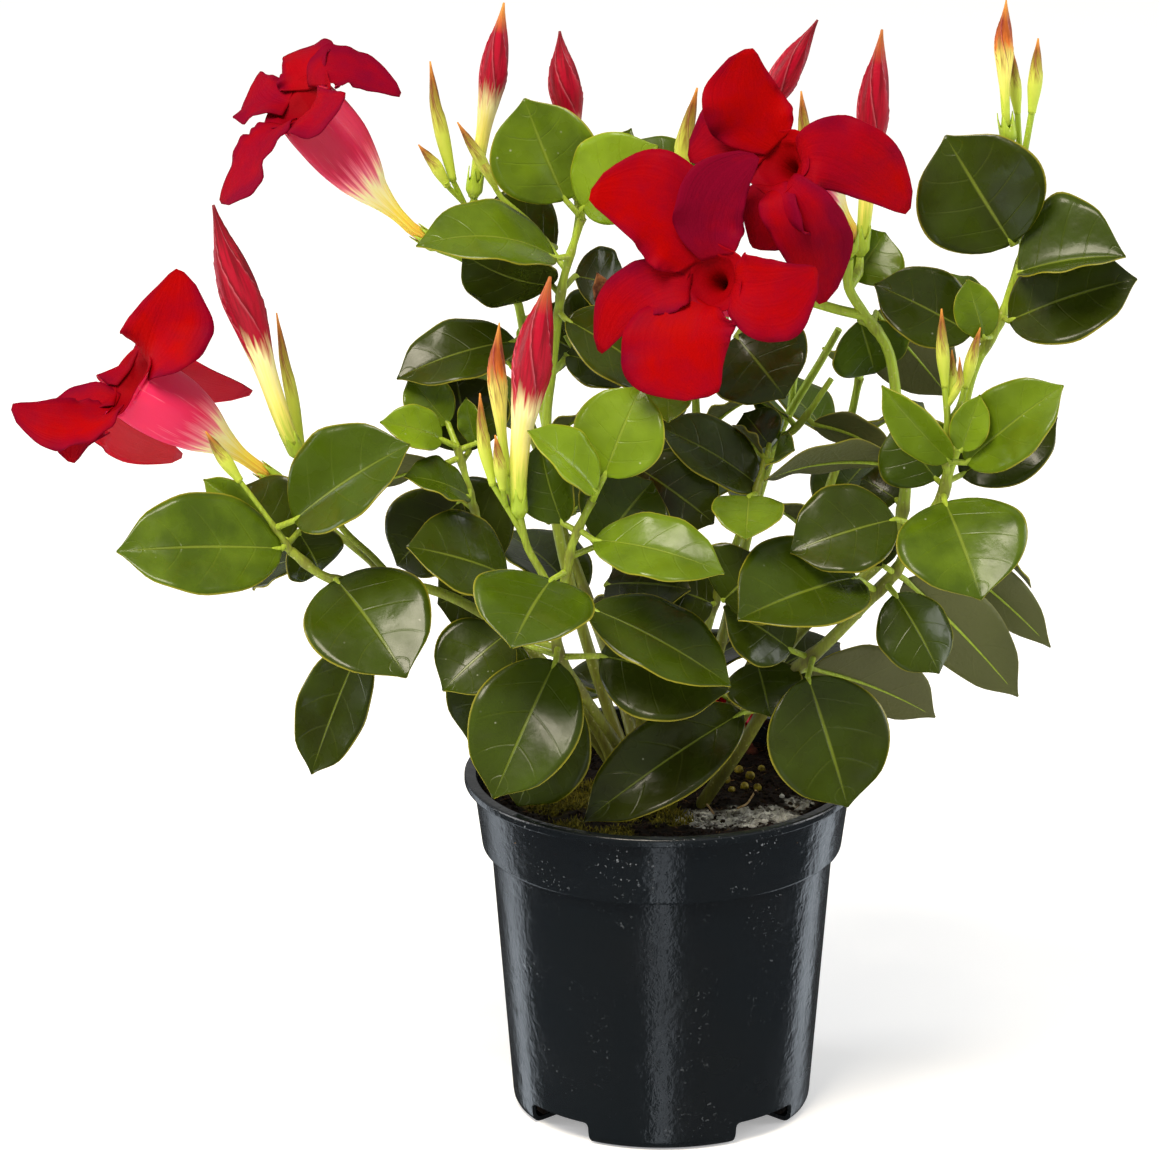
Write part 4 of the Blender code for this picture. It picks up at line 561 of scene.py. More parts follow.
class Skin:
    """Gathers grids of points into one mesh with a UV map, a tone attribute and several materials."""

    def __init__(self):
        self.points = []
        self.faces = []
        self.corners = []
        self.slots = []
        self.tones = []

    def add_grid(self, grid, tone=0.0, slot=0, wrap=False, turned=False, rows=(0.0, 1.0)):
        """Faces over rows of points; the UV map runs from 0 to 1 across a row, and over rows up the grid."""
        first = len(self.points)
        width = len(grid[0])
        for row in grid:
            self.points.extend(row)
            self.tones.extend([tone] * width)
        across = width if wrap else width - 1
        for number in range(len(grid) - 1):
            for column in range(across):
                corners = [(number, column), (number, column + 1),
                           (number + 1, column + 1), (number + 1, column)]
                if turned:
                    corners.reverse()
                self.faces.append([first + row * width + place % width for row, place in corners])
                self.slots.append(slot)
                for row, place in corners:
                    height = rows[0] + (rows[1] - rows[0]) * row / (len(grid) - 1)
                    self.corners.extend((place / across, height))
        return first

    def close_ring(self, first, width, centre, tone, slot, turned=False, row=0.0):
        """A fan from a ring of points to a centre."""
        self.points.append(centre)
        self.tones.append(tone)
        last = len(self.points) - 1
        for column in range(width):
            face = [first + column, first + (column + 1) % width, last]
            self.faces.append(face[::-1] if turned else face)
            self.slots.append(slot)
            for place in (column, column + 1, column)[::-1] if turned else (column, column + 1, column):
                self.corners.extend((place / width, row))

    def add_closed(self, grid, low, high, tone=0.0, slot=0, row=0.0):
        """Rings of points closed at both ends by fans to a low and a high centre."""
        width = len(grid[0])
        first = self.add_grid(grid, tone, slot, wrap=True)
        self.close_ring(first, width, low, tone, slot, turned=True)
        self.close_ring(first + (len(grid) - 1) * width, width, high, tone, slot, row=row)

    def add_sheet(self, grid, thickness, tone=0.0, slots=(0, 1), rows=(0.0, 1.0)):
        """A thin closed sheet: an upper face, a lower face and the edge between them."""
        normals = grid_normals(grid)
        half = 0.5 * thickness
        upper = [[p + n * half for p, n in zip(*pair)] for pair in zip(grid, normals)]
        lower = [[p - n * half for p, n in zip(*pair)] for pair in zip(grid, normals)]
        top = self.add_grid(upper, tone, slots[0], rows=rows)
        bottom = self.add_grid(lower, tone, slots[1], turned=True, rows=rows)
        height, width = len(grid), len(grid[0])
        rim = [(0, column) for column in range(width)]
        rim += [(row, width - 1) for row in range(1, height)]
        rim += [(height - 1, column) for column in range(width - 2, -1, -1)]
        rim += [(row, 0) for row in range(height - 2, 0, -1)]
        for start, end in zip(rim, rim[1:] + rim[:1]):
            a, b = (row * width + column for row, column in (start, end))
            self.faces.append([top + b, top + a, bottom + a, bottom + b])
            self.slots.append(slots[0])
            for row, column in (end, start, start, end):
                up = rows[0] + (rows[1] - rows[0]) * row / (height - 1)
                self.corners.extend((column / (width - 1), up))

    def make(self, name, materials):
        """The finished object; coincident points are merged and its shells closed."""
        mesh = bpy.data.meshes.new(name)
        mesh.from_pydata([tuple(point) for point in self.points], [], self.faces)
        mesh.uv_layers.new(name="skin").data.foreach_set("uv", self.corners)
        mesh.attributes.new("tone", "FLOAT", "POINT").data.foreach_set("value", self.tones)
        mesh.polygons.foreach_set("material_index", self.slots)
        shell = bmesh.new()
        shell.from_mesh(mesh)
        bmesh.ops.remove_doubles(shell, verts=shell.verts, dist=MERGE_DISTANCE)
        shell.to_mesh(mesh)
        shell.free()
        for material in materials:
            mesh.materials.append(material)
        mesh.shade_smooth()
        mesh.validate()
        return new_object(name, mesh)


def new_object(name, data):
    """An object in the scene that holds a mesh, a light or a camera."""
    thing = bpy.data.objects.new(name, data)
    bpy.context.scene.collection.objects.link(thing)
    return thing


def grid_normals(grid):
    """Unit normals of a grid of points."""
    normals = []
    height, width = len(grid), len(grid[0])
    for row in range(height):
        line = []
        for column in range(width):
            across = grid[row][min(column + 1, width - 1)] - grid[row][max(column - 1, 0)]
            up = grid[min(row + 1, height - 1)][column] - grid[max(row - 1, 0)][column]
            line.append(across.cross(up).normalized())
        normals.append(line)
    return normals


def blade_half_width(t):
    """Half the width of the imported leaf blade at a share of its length, as a share of its widest."""
    return math.sin(math.pi * t ** BLADE_SKEW) ** BLADE_FULLNESS


def leaf_axes(foot, tip, facing):
    """A blade's direction, side and upper face directions, and its length."""
    along = tip - foot
    length = along.length
    along.normalize()
    normal = Vector(facing)
    normal = (normal - along * normal.dot(along)).normalized()
    return along, along.cross(normal), normal, length


def bend_cost(bend):
    """How far a bend takes a leaf from the photograph; a turn in the picture plane shows the most."""
    tilt, roll, turn = bend
    return abs(tilt) + BEND_ROLL_COST * abs(roll) + BEND_TURN_COST * abs(turn)


def bends():
    """Every bend of a leaf, the mildest first."""
    choices = itertools.product(BEND_TILTS, BEND_ROLLS, BEND_TURNS)
    return sorted(choices, key=bend_cost)


def bent(foot, tip, facing, bend):
    """A leaf's tip and facing after a tilt in depth, a roll and a turn in the picture plane."""
    tilt, roll, turn = (math.radians(angle) for angle in bend)
    toward_back = Vector((0.0, math.cos(VIEW_ELEVATION), -math.sin(VIEW_ELEVATION)))
    along = (tip - foot).normalized()
    hinge = along.cross(toward_back)
    hinge = hinge.normalized() if hinge.length > LEAST_HINGE else Vector((1.0, 0.0, 0.0))
    swing = (Matrix.Rotation(turn, 3, toward_back) @ Matrix.Rotation(tilt, 3, hinge)
             @ Matrix.Rotation(roll, 3, along))
    return foot + swing @ (tip - foot), swing @ Vector(facing)


def packed_surface(name):
    """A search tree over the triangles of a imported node."""
    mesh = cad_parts[name].data
    return BVHTree.FromPolygons([tuple(vert.co) for vert in mesh.vertices],
                                [tuple(face.vertices) for face in mesh.polygons])


def packed_leaf(surface, leaf, foot, tip):
    """The tip and facing of a leaf as packed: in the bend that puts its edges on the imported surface."""
    best = None
    for bend in bends():
        bent_tip, facing = bent(foot, tip, leaf.facing, bend)
        along, side, normal, length = leaf_axes(foot, bent_tip, facing)
        rise = math.radians(leaf.fold)
        marks = [bent_tip]
        for t in BLADE_ROWS:
            half = 0.5 * leaf.width * blade_half_width(t) * MM
            rib = foot + along * length * t + normal * length * leaf.arch * 4 * t * (1 - t)
            edge_rise = normal * half * math.sin(rise)
            marks.append(rib - side * half * math.cos(rise) + edge_rise)
            marks.append(rib + side * half * math.cos(rise) + edge_rise)
        found = sum(surface.find_nearest(mark)[3] < ON_SURFACE * MM for mark in marks)
        if best is None or found > best[0]:
            best = (found, bent_tip, facing)
        if found == len(marks):
            break
    if best[0] * 2 < len(marks):
        raise RuntimeError("a leaf isn't where the packed model has it")
    return best[1], best[2]


def paired_leaves(path):
    """Foot, tip and leaf of the opposite pairs up a path, each pair turned from the one below."""
    leaves = []
    for number, (share, (length, width), age) in enumerate(zip(PAIR_PLACES, PAIR_BLADES, PAIR_AGES)):
        node = along_path(path, share)
        rise = PAIR_RISE + PAIR_RISE_STEP * number
        for half_turn in (0.0, math.pi):
            angle = PAIR_FIRST_TURN + number * PAIR_TURN + half_turn
            out = Vector((math.cos(angle), math.sin(angle), rise)).normalized()
            foot = node + out * PAIR_STALK * MM
            tip = foot + out * length * MM
            facing = Vector((0.0, 0.0, 1.0)) - out * PAIR_LEAN
            leaves.append((foot, tip, Leaf(None, None, width, tuple(facing), age, PAIR_FOLD, PAIR_ARCH)))
    return leaves


def petal_half_widths(t, root_half, width):
    """Half widths in mm of a petal's lean and full side at a share of its length."""
    root = root_half * (1.0 - t) ** 2
    lean = root + width * PETAL_LEAN_SHARE * math.sin(math.pi * t) ** PETAL_LEAN_FULLNESS
    swell = math.sin(math.pi * t ** PETAL_FULL_SKEW) ** PETAL_FULL_FULLNESS
    full = root + width * (1.0 - PETAL_LEAN_SHARE) * swell
    return lean, full


def petal_frame(centre, axis, tip, full_side):
    """Where a petal leaves the throat: its outward and its sideways direction there."""
    spoke = tip - centre
    spoke = (spoke - axis * spoke.dot(axis)).normalized()
    outward = Matrix.Rotation(full_side * PETAL_ROOT_TURN, 3, axis) @ spoke
    return outward, axis.cross(outward)


def petal_point(petal, centre, axis, radius, t, across):
    """A point on a petal's middle surface; across runs from -1 to 1, with 1 on its full side."""
    tip = photo_point(petal.tip)
    outward, sideways = petal_frame(centre, axis, tip, petal.full_side)
    root = centre + outward * radius * PETAL_ROOT_SHARE * MM - axis * PETAL_SINK * MM
    reach = (tip - root).length
    straight = max(0.0, outward.dot(tip - root) / reach)
    flare = PETAL_FLARE * (PETAL_LEAST_FLARE + (1.0 - PETAL_LEAST_FLARE) * straight)
    guide = root + (outward * PETAL_OUTWARD + axis * PETAL_FORWARD).normalized() * reach * flare
    guide += sideways * petal.full_side * reach * straight * PETAL_SWING
    rib = root * (1 - t) ** 2 + guide * 2 * t * (1 - t) + tip * t * t
    along = ((guide - root) * (1 - t) + (tip - guide) * t).normalized()
    tip_side = along.cross(Vector(petal.facing)).normalized()
    if tip_side.dot(sideways) < 0.0:
        tip_side.negate()
    side = sideways.lerp(tip_side, min(1.0, PETAL_SIDE_TURN * t))
    side = (side - along * side.dot(along)).normalized()
    normal = side.cross(along)
    if normal.dot(axis) < 0.0:
        normal.negate()
    lean, full = petal_half_widths(t, radius * math.sin(math.pi / PETALS_OF_A_BLOOM), petal.width)
    spread = across * (full if across > 0 else lean) * MM * (1.0 if petal.full_side > 0 else -1.0)
    lift = PETAL_TWIST * spread + PETAL_CUP * abs(spread) * (1.0 - t)
    return rib + side * spread + normal * lift


def twig_path(twig, older_paths, step=STEM_STEP):
    """A twig's smooth path, from the nearest older twig; a main stem goes straight down into the soil."""
    points = [photo_point(place) for place in twig.points]
    if older_paths:
        points[0] = nearest_on_paths(older_paths, points[0])
        return smooth_path(points, step)
    points[0].z = SOIL_LEVEL * MM
    foot = points[0] - Vector((0.0, 0.0, (HOLE_DEPTH - TOUCH_GAP) * MM))
    ground = points[0] + Vector((0.0, 0.0, GROUND_RISE * MM))
    return [foot] + smooth_path([ground] + points[1:], step)


def flower_path(places):
    """A smooth path for a bloom's tube or a bud."""
    return smooth_path([photo_point(place) for place in places], STEM_STEP)


def all_shoots():
    """Every shoot by name, those planned from the photograph first."""
    shoots = dict(SHOOTS)
    for name, twigs in BACK_TWIGS.items():
        shoots[name] = Shoot(twigs, [], [])
    return shoots


def soil_height(angle, share):
    """The height in mm of the packed soil at an angle and at a share of its radius."""
    waves = sum(strength * math.sin(lobes * angle + swirl * share) for strength, lobes, swirl in SOIL_WAVES)
    return SOIL_LEVEL + SOIL_RELIEF * share * waves


def linear(code):
    """The linear colour of an sRGB hex value."""
    channels = [int(code[place:place + 2], 16) / 255.0 for place in (1, 3, 5)]
    return tuple(c / 12.92 if c <= 0.04045 else ((c + 0.055) / 1.055) ** 2.4 for c in channels)


def colour(name, description, code):
    """A colour property with its default from an sRGB hex value."""
    return bpy.props.FloatVectorProperty(name=name, description=description, subtype="COLOR", size=3,
                                         min=0.0, max=1.0, default=linear(code))


def distance(name, description, default):
    """A length property in metres."""
    return bpy.props.FloatProperty(name=name, description=description, subtype="DISTANCE", unit="LENGTH",
                                   min=0.0, precision=5, default=default * MM)


def count(name, description, least, default):
    """A whole-number property."""
    return bpy.props.IntProperty(name=name, description=description, min=least, default=default)


def amount(name, description, default, **limits):
    """A number property."""
    return bpy.props.FloatProperty(name=name, description=description, default=default, **limits)


class LeafSettings(bpy.types.PropertyGroup):
    """Leaf blades."""
    rows: count("Rows", "Rows of points along a blade", 6, 22)
    columns: count("Columns", "Rows of points across a blade", 4, 12)
    thickness: distance("Thickness", "How thick a blade is", 0.42)
    wave: distance("Edge wave", "How far a blade's edge waves up and down", 0.7)
    young: colour("Young", "Blade of the youngest leaves", "#78941A")
    middle: colour("Middle", "Blade of the grown leaves", "#3E5205")
    old: colour("Old", "Blade of the oldest leaves", "#262C05")
    underside: colour("Underside", "Lower face of the blades", "#686A3E")
    vein: colour("Veins", "Midrib and side veins", "#8A9A34")
    edge: colour("Edge", "Thin line along the edge of a blade", "#A8A030")


class StemSettings(bpy.types.PropertyGroup):
    """Stems, leaf stalks and calyxes."""
    sides: count("Sides", "Sides of a stem", 5, 10)
    step: distance("Step", "Distance between the rings of a stem", 3.0)
    node_swell: distance("Node swell", "How far a stem swells where a leaf grows", 0.45)
    relief: distance("Relief", "Height of the bumps on a stem", 0.12)
    stalk_radius: distance("Stalk radius", "Radius of a leaf stalk", 1.0)
    young: colour("Young", "Upper stems and leaf stalks", "#A3BE34")
    old: colour("Old", "Stems near the soil", "#6B6A2A")


class BloomSettings(bpy.types.PropertyGroup):
    """Open blooms."""
    petal_rows: count("Petal rows", "Rows of points along a petal", 6, 26)
    petal_columns: count("Petal columns", "Points across a petal", 5, 19)
    funnel_sides: count("Tube sides", "Sides of a corolla tube", 10, 40)
    thickness: distance("Thickness", "How thick a petal is", 0.5)
    wave: distance("Edge wave", "How far a petal's edge waves", 1.5)
    point: distance("Point", "How far the tip of a petal is drawn out", 2.4)
    red: colour("Red", "Upper face of the petals", "#9A0102")
    purple: colour("Purple", "Shaded petals and petal edges", "#720220")
    outside: colour("Outside", "Back of the petals and mouth of the tube", "#DC2458")
    streak: colour("Streaks", "Pale streaks on the outside", "#FFC4CE")
    cream: colour("Cream", "Tube where it begins to widen", "#F6EEB4")
    yellow: colour("Yellow", "Narrow part of the tube", "#EFDC4A")
    neck: colour("Neck", "Tube just above the calyx", "#D8A33A")
    throat: colour("Throat", "Inside of the tube", "#8A0204")


class BudSettings(bpy.types.PropertyGroup):
    """Large and small buds."""
    sides: count("Sides", "Sides of a large bud", 10, 40)
    rows: count("Rows", "Rings of a large bud", 10, 48)
    fold: amount("Fold", "Depth of the wrapped petals as a share of the radius", 0.13, min=0.0, max=0.4)
    turns: amount("Turns", "How often the wrapped petals go round", 0.55)
    red: colour("Red", "Wrapped petals", "#A80626")
    tip: colour("Tip", "Tip of a bud", "#6A0A16")
    yellow: colour("Yellow", "Bud tube", "#F1E672")
    green: colour("Green", "Small buds and the foot of the large ones", "#B9CC44")
    bronze: colour("Bronze", "Tips of the young buds", "#A2521E")


class SoilSettings(bpy.types.PropertyGroup):
    """Soil surface and what lies on it."""
    peat: colour("Peat", "Dark peat", "#0F0B08")
    fibre: colour("Fibre", "Brown fibres and bark", "#2E1E12")
    moss: colour("Moss", "Moss cushions", "#A0942A")
    grit: colour("Grit", "Grey-white mineral crust", "#F4F2EA")
    granule: colour("Granule", "Fertiliser granules", "#B9A63C")
    crumb: distance("Crumb", "Radius of the coarser peat crumbs", 1.1)
    relief: distance("Relief", "Height of the surface relief", 1.6)
    radius: distance("Radius", "Radius of the soil surface", 60.2)
    rings: count("Rings", "Rings of the soil surface", 8, 64)
    sides: count("Sides", "Sides of the soil surface", 24, 160)


class PotSettings(bpy.types.PropertyGroup):
    """Nursery pot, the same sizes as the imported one."""
    height: distance("Height", "Height of the pot", 115.0)
    lip_radius: distance("Lip radius", "Outer radius of the lip", 65.0)
    lip_height: distance("Lip height", "Height of the lip", 3.2)
    lip_rounding: distance("Lip rounding", "Rounding of the lip", 0.6)
    band_top_radius: distance("Band top radius", "Outer radius of the band under the lip", 62.0)
    band_bottom_radius: distance("Band bottom radius", "Outer radius of the band at its lower edge", 59.0)
    band_floor: distance("Band floor", "Height of the band's lower edge", 90.0)
    body_top_radius: distance("Body top radius", "Outer radius of the body under the band", 56.2)
    foot_radius: distance("Foot radius", "Outer radius of the foot", 48.7)
    foot_rounding: distance("Foot rounding", "Rounding of the foot", 4.0)
    wall: distance("Wall", "Thickness of the wall", 1.5)
    slot_width: distance("Slot width", "Width of a drain slot", 26.0)
    slot_height: distance("Slot height", "Height of a drain slot", 7.5)
    slot_depth: distance("Slot depth", "How far a drain slot reaches inward", 14.0)
    sides: count("Sides", "Sides of the pot", 24, 144)
    plastic: colour("Plastic", "Recycled black plastic", "#12171B")
    dust: colour("Dust", "Dry dust on the plastic", "#9AA0A6")


class StageSettings(bpy.types.PropertyGroup):
    """Floor, lights and camera."""
    floor: colour("Floor", "Pale floor", "#F7F7F7")
    floor_size: amount("Floor size", "Side of the floor", 9.0, unit="LENGTH")
    camera_distance: amount("Camera distance", "From the camera to the plant", 4.0, unit="LENGTH")
    world_strength: amount("World", "Strength of the pale surroundings", 0.42)
    key_power: amount("Key light", "Power in watts", 40.0)
    floor_glow: amount("Floor glow", "Light that the floor gives off", 0.32)
    reflector_glow: amount("Reflector glow", "Brightness of the panels that the pot mirrors", 1.7)
    side_power: amount("Side lights", "Power in watts", 9.0)


def add_node(tree, kind, inputs=(), out=0, stops=(), **settings):
    """Add a node with its settings, colour stops and inputs, and return one of its outputs. An input is a
    value or a socket to link from, in order or by identifier. A shader node's kind leaves out ShaderNode."""
    node = tree.nodes.new(kind if "Node" in kind else "ShaderNode" + kind)
    for name, value in settings.items():
        setattr(node, name, value)
    for key, value in inputs.items() if isinstance(inputs, dict) else enumerate(inputs):
        socket = node.inputs[key] if isinstance(key, int) else named(node.inputs, key)
        if isinstance(value, bpy.types.NodeSocket):
            tree.links.new(value, socket)
        elif socket.type == "RGBA":
            socket.default_value = (*value, 1.0)
        else:
            socket.default_value = value
    if stops:
        elements = node.color_ramp.elements
        while len(elements) < len(stops):
            elements.new(1.0)
        for element, (place, shade) in zip(elements, stops):
            element.position = place
            element.color = (*shade, 1.0)
    if not node.outputs:
        return node
    return node.outputs[out] if isinstance(out, int) else named(node.outputs, out)


def named(sockets, identifier):
    """The socket with an identifier."""
    return next(socket for socket in sockets if socket.identifier == identifier)


def new_material(name, **finish):
    """A Principled material; finish sets its shader's own sockets, named with underscores."""
    material = bpy.data.materials.new(name)
    material.use_nodes = True
    shader = material.node_tree.nodes["Principled BSDF"]
    for socket, value in finish.items():
        place = shader.inputs[socket.replace("_", " ")]
        place.default_value = (*value, 1.0) if place.type == "RGBA" else value
    return material


def patterned(name, **finish):
    """A new material, the function that adds its nodes, and the Object coordinates for its patterns."""
    material = new_material(name, **finish)
    add = functools.partial(add_node, material.node_tree)
    return material, add, add("TexCoord", out="Object")


def dress(material, base, roughness, normal):
    """Link a material's patterns to its shader."""
    shader = material.node_tree.nodes["Principled BSDF"]
    for socket, source in (("Base Color", base), ("Roughness", roughness), ("Normal", normal)):
        if source is not None:
            material.node_tree.links.new(source, shader.inputs[socket])
    return material


def skin_map(add):
    """A skin's own UV map, its coordinates across and up, and the skin's tone."""
    spot = add("UVMap", uv_map="skin")
    parts = add("SeparateXYZ", (spot,)).node
    return spot, parts.outputs["X"], parts.outputs["Y"], add("Attribute", **TONE)


def off_midline(add, across):
    """How far a point is from the midline of a blade or petal: 0 there and 1 at its edges."""
    away = add("Math", (across, 0.5), operation="SUBTRACT")
    away = add("Math", (away,), operation="ABSOLUTE")
    return add("Math", (away, 2.0), operation="MULTIPLY")


def leaf_uppers(settings):
    """Waxy upper face of a leaf: a glossy cuticle over green tissue, a pale midrib and sunken side veins."""
    material, add, place = patterned("waxy_leaf_upper", Roughness=0.3, Specular_IOR_Level=0.26, IOR=1.45,
                                     Coat_Weight=0.12, Coat_Roughness=0.1)
    base, veins = leaf_pattern(add, settings, place)
    fine = add("TexNoise", {"Vector": place, "Scale": 0.9 / MM, "Detail": 3.0})
    broad = add("TexNoise", {"Vector": place, "Scale": 0.13 / MM, "Detail": 2.0})
    relief = add("Math", (fine, 0.12), operation="MULTIPLY")
    relief = add("Math", (broad, relief), operation="ADD")
    relief = add("Math", (relief, veins), operation="SUBTRACT")
    normal = add("Bump", {"Strength": 0.55, "Distance": 0.6 * MM, "Height": relief})
    gloss = add("MapRange", (broad, 0.3, 0.7, 0.18, 0.38))
    # Small pale specks of dried water that real leaves carry
    specks = add("TexVoronoi", {"Vector": place, "Scale": 0.21 / MM, "Randomness": 1.0}, out="Distance")
    specks = add("MapRange", (specks, 0.05, 0.09, 0.35, 0.0))
    where = add("TexNoise", {"Vector": place, "Scale": 0.045 / MM})
    where = add("MapRange", (where, 0.56, 0.66))
    specks = add("Math", (specks, where), operation="MULTIPLY")
    base = add("Mix", {"Factor_Float": specks, "A_Color": base, "B_Color": linear("#D8DCC8")}, **BLEND)
    return dress(material, base, gloss, normal)


def leaf_pattern(add, settings, place):
    """Colour and vein mask of a leaf, from its own UV map and how old it is; the darker green of leaves in
    shade inside the plant is painted shade.
    """
    _, across, up, age = skin_map(add)
    across = off_midline(add, across)
    blotch = add("TexNoise", {"Vector": place, "Scale": 0.07 / MM, "Detail": 4.0})
    blotch = add("MapRange", (blotch, 0.3, 0.7, -0.09, 0.09))
    # Older leaves and leaves in shade inside the plant turn darker: the green is partly the leaf's own and
    # partly painted shade
    aged_and_shaded = add("Math", (age, blotch), operation="ADD")
    base = add("ValToRGB", {"Fac": aged_and_shaded}, stops=((0.0, settings.young), (0.45, settings.middle),
                                                 (1.0, settings.old)))
    midrib = add("MapRange", (across, 0.012, 0.04, 1.0, 0.0), **SMOOTH)
    fading = add("MapRange", (up, 0.55, 1.0, 1.0, 0.15))
    midrib = add("Math", (midrib, fading), operation="MULTIPLY")
    # Side veins leave the midrib every tenth of the blade and lean toward the tip
    lean = add("Math", (across, VEIN_BEND), operation="POWER")
    lean = add("Math", (lean, VEIN_LEAN), operation="MULTIPLY")
    rank = add("Math", (up, lean), operation="SUBTRACT")
    rank = add("Math", (rank, SIDE_VEINS), operation="MULTIPLY")
    rank = add("Math", (rank, 1.0), operation="PINGPONG")
    sides = add("MapRange", (rank, 0.0, 0.1, 0.3, 0.0), **SMOOTH)
    inward = add("MapRange", (across, 0.5, 0.95, 1.0, 0.0))
    sides = add("Math", (sides, inward), operation="MULTIPLY")
    veins = add("Math", (midrib, sides), operation="MAXIMUM")
    pale = add("Math", (sides, 0.16), operation="MULTIPLY")
    strong = add("Math", (midrib, 0.42), operation="MULTIPLY")
    pale = add("Math", (pale, strong), operation="MAXIMUM")
    base = add("Mix", {"Factor_Float": pale, "A_Color": base, "B_Color": settings.vein}, **BLEND)
    rim = add("MapRange", (across, 0.965, 0.995, 0.0, 0.6))
    base = add("Mix", {"Factor_Float": rim, "A_Color": base, "B_Color": settings.edge}, **BLEND)
    return base, veins


def leaf_undersides(settings):
    """Lower face of a leaf: dull grey-green tissue without a waxy layer, its veins raised."""
    material, add, place = patterned("leaf_underside", Roughness=0.55, IOR=1.4)
    upper, veins = leaf_pattern(add, settings, place)
    base = add("Mix", {"Factor_Float": 0.72, "A_Color": upper, "B_Color": settings.underside}, **BLEND)
    fine = add("TexNoise", {"Vector": place, "Scale": 0.7 / MM, "Detail": 3.0})
    relief = add("Math", (fine, veins), operation="ADD")
    normal = add("Bump", {"Strength": 0.5, "Distance": 0.6 * MM, "Height": relief})
    return dress(material, base, None, normal)


def stem_skin(settings):
    """Green stem skin: smooth young rind above, drier and browner toward the soil, with long streaks."""
    material, add, place = patterned("green_stem_rind", Roughness=0.42, IOR=1.42)
    tone = add("Attribute", **TONE)
    long = add("Mapping", {"Vector": place, "Scale": (1.0, 1.0, 0.12)})
    streaks = add("TexNoise", {"Vector": long, "Scale": 1.4 / MM, "Detail": 3.0})
    shift = add("MapRange", (streaks, 0.3, 0.7, -0.2, 0.2))
    shade = add("Math", (tone, shift), operation="ADD")
    base = add("ValToRGB", {"Fac": shade}, stops=((0.0, settings.young), (0.5, linear("#84912C")),
                                                  (1.0, settings.old)))
    dots = add("TexVoronoi", {"Vector": place, "Scale": 0.42 / MM}, out="Distance")
    dots = add("MapRange", (dots, 0.1, 0.2, 0.4, 0.0))
    base = add("Mix", {"Factor_Float": dots, "A_Color": base, "B_Color": linear("#C9C58A")}, **BLEND)
    normal = add("Bump", {"Strength": 0.4, "Distance": 0.3 * MM, "Height": streaks})
    return dress(material, base, None, normal)


def petal_upper(settings):
    """Upper face of a petal: velvety cells that scatter light, deep red with crimson-purple edges."""
    material, add, place = patterned("velvet_petal_upper", Roughness=0.6, IOR=1.35, Specular_IOR_Level=0.05,
                                     Sheen_Weight=0.06, Sheen_Roughness=0.4, Sheen_Tint=linear("#D01810"))
    spot, across, up, shade = skin_map(add)
    across = off_midline(add, across)
    cloud = add("TexNoise", {"Vector": place, "Scale": 0.044 / MM, "Detail": 4.0, "Roughness": 0.6})
    cloud = add("MapRange", (cloud, 0.35, 0.65, -0.34, 0.34))
    edge = add("MapRange", (across, 0.6, 1.0, 0.0, 0.6))
    depth = add("Math", (shade, edge), operation="ADD")
    depth = add("Math", (depth, cloud), operation="ADD")
    petal = add("Mix", {"Factor_Float": depth, "A_Color": settings.red, "B_Color": settings.purple}, **BLEND,
                clamp_factor=True)
    # The map's lower half is the tube and its upper half the petals
    # Painted shade: the petals' feet darken into the throat's dark red, and the inside of the tube takes that
    # dark red, which stands for the shade deep in the tube
    inward = add("MapRange", (up, 0.36, 0.64, 1.0, 0.0), **SMOOTH)
    base = add("Mix", {"Factor_Float": inward, "A_Color": petal, "B_Color": settings.throat}, **BLEND)
    ribs = add("Mapping", {"Vector": spot, "Scale": (26.0, 1.6, 1.0)})
    ribs = add("TexNoise", {"Vector": ribs, "Scale": 1.0, "Detail": 2.0})
    velvet = add("TexNoise", {"Vector": place, "Scale": 1.5 / MM, "Detail": 2.0})
    velvet = add("Math", (velvet, 0.3), operation="MULTIPLY")
    relief = add("Math", (ribs, velvet), operation="ADD")
    normal = add("Bump", {"Strength": 0.45, "Distance": 0.7 * MM, "Height": relief})
    return dress(material, base, None, normal)


def petal_outside(settings):
    """Outside of a bloom: satin tissue, from an orange neck over yellow and cream to streaked crimson."""
    material, add, _ = patterned("satin_petal_outside", Roughness=0.45, IOR=1.38, Subsurface_Weight=0.35,
                                 Subsurface_Scale=0.004)
    spot, _, height, shade = skin_map(add)
    long = add("Mapping", {"Vector": spot, "Scale": (34.0, 2.2, 1.0)})
    streaks = add("TexNoise", {"Vector": long, "Scale": 1.0, "Detail": 4.0, "Roughness": 0.65})
    shift = add("MapRange", (streaks, 0.3, 0.7, -0.06, 0.06))
    up = add("Math", (height, shift), operation="ADD")
    base = add("ValToRGB", {"Fac": up}, stops=((0.0, settings.neck), (0.1, settings.yellow),
                                               (0.21, settings.cream), (0.26, linear("#E8788A")),
                                               (0.32, settings.outside), (0.56, settings.outside),
                                               (0.68, linear("#C00A30")), (1.0, linear("#A80822"))))
    pale = add("MapRange", (streaks, 0.6, 0.72, 0.0, 0.55))
    high = add("MapRange", (height, 0.5, 0.75, 1.0, 0.15))
    pale = add("Math", (pale, high), operation="MULTIPLY")
    base = add("Mix", {"Factor_Float": pale, "A_Color": base, "B_Color": settings.streak}, **BLEND)
    deep = add("MapRange", (up, 0.25, 0.34))
    shade = add("MapRange", (shade, 0.45, 0.62, 0.0, 0.75))
    deep = add("Math", (deep, shade), operation="MULTIPLY")
    base = add("Mix", {"Factor_Float": deep, "A_Color": base, "B_Color": linear("#A80A30")}, **BLEND)
    normal = add("Bump", {"Strength": 0.4, "Distance": 0.6 * MM, "Height": streaks})
    return dress(material, base, None, normal)


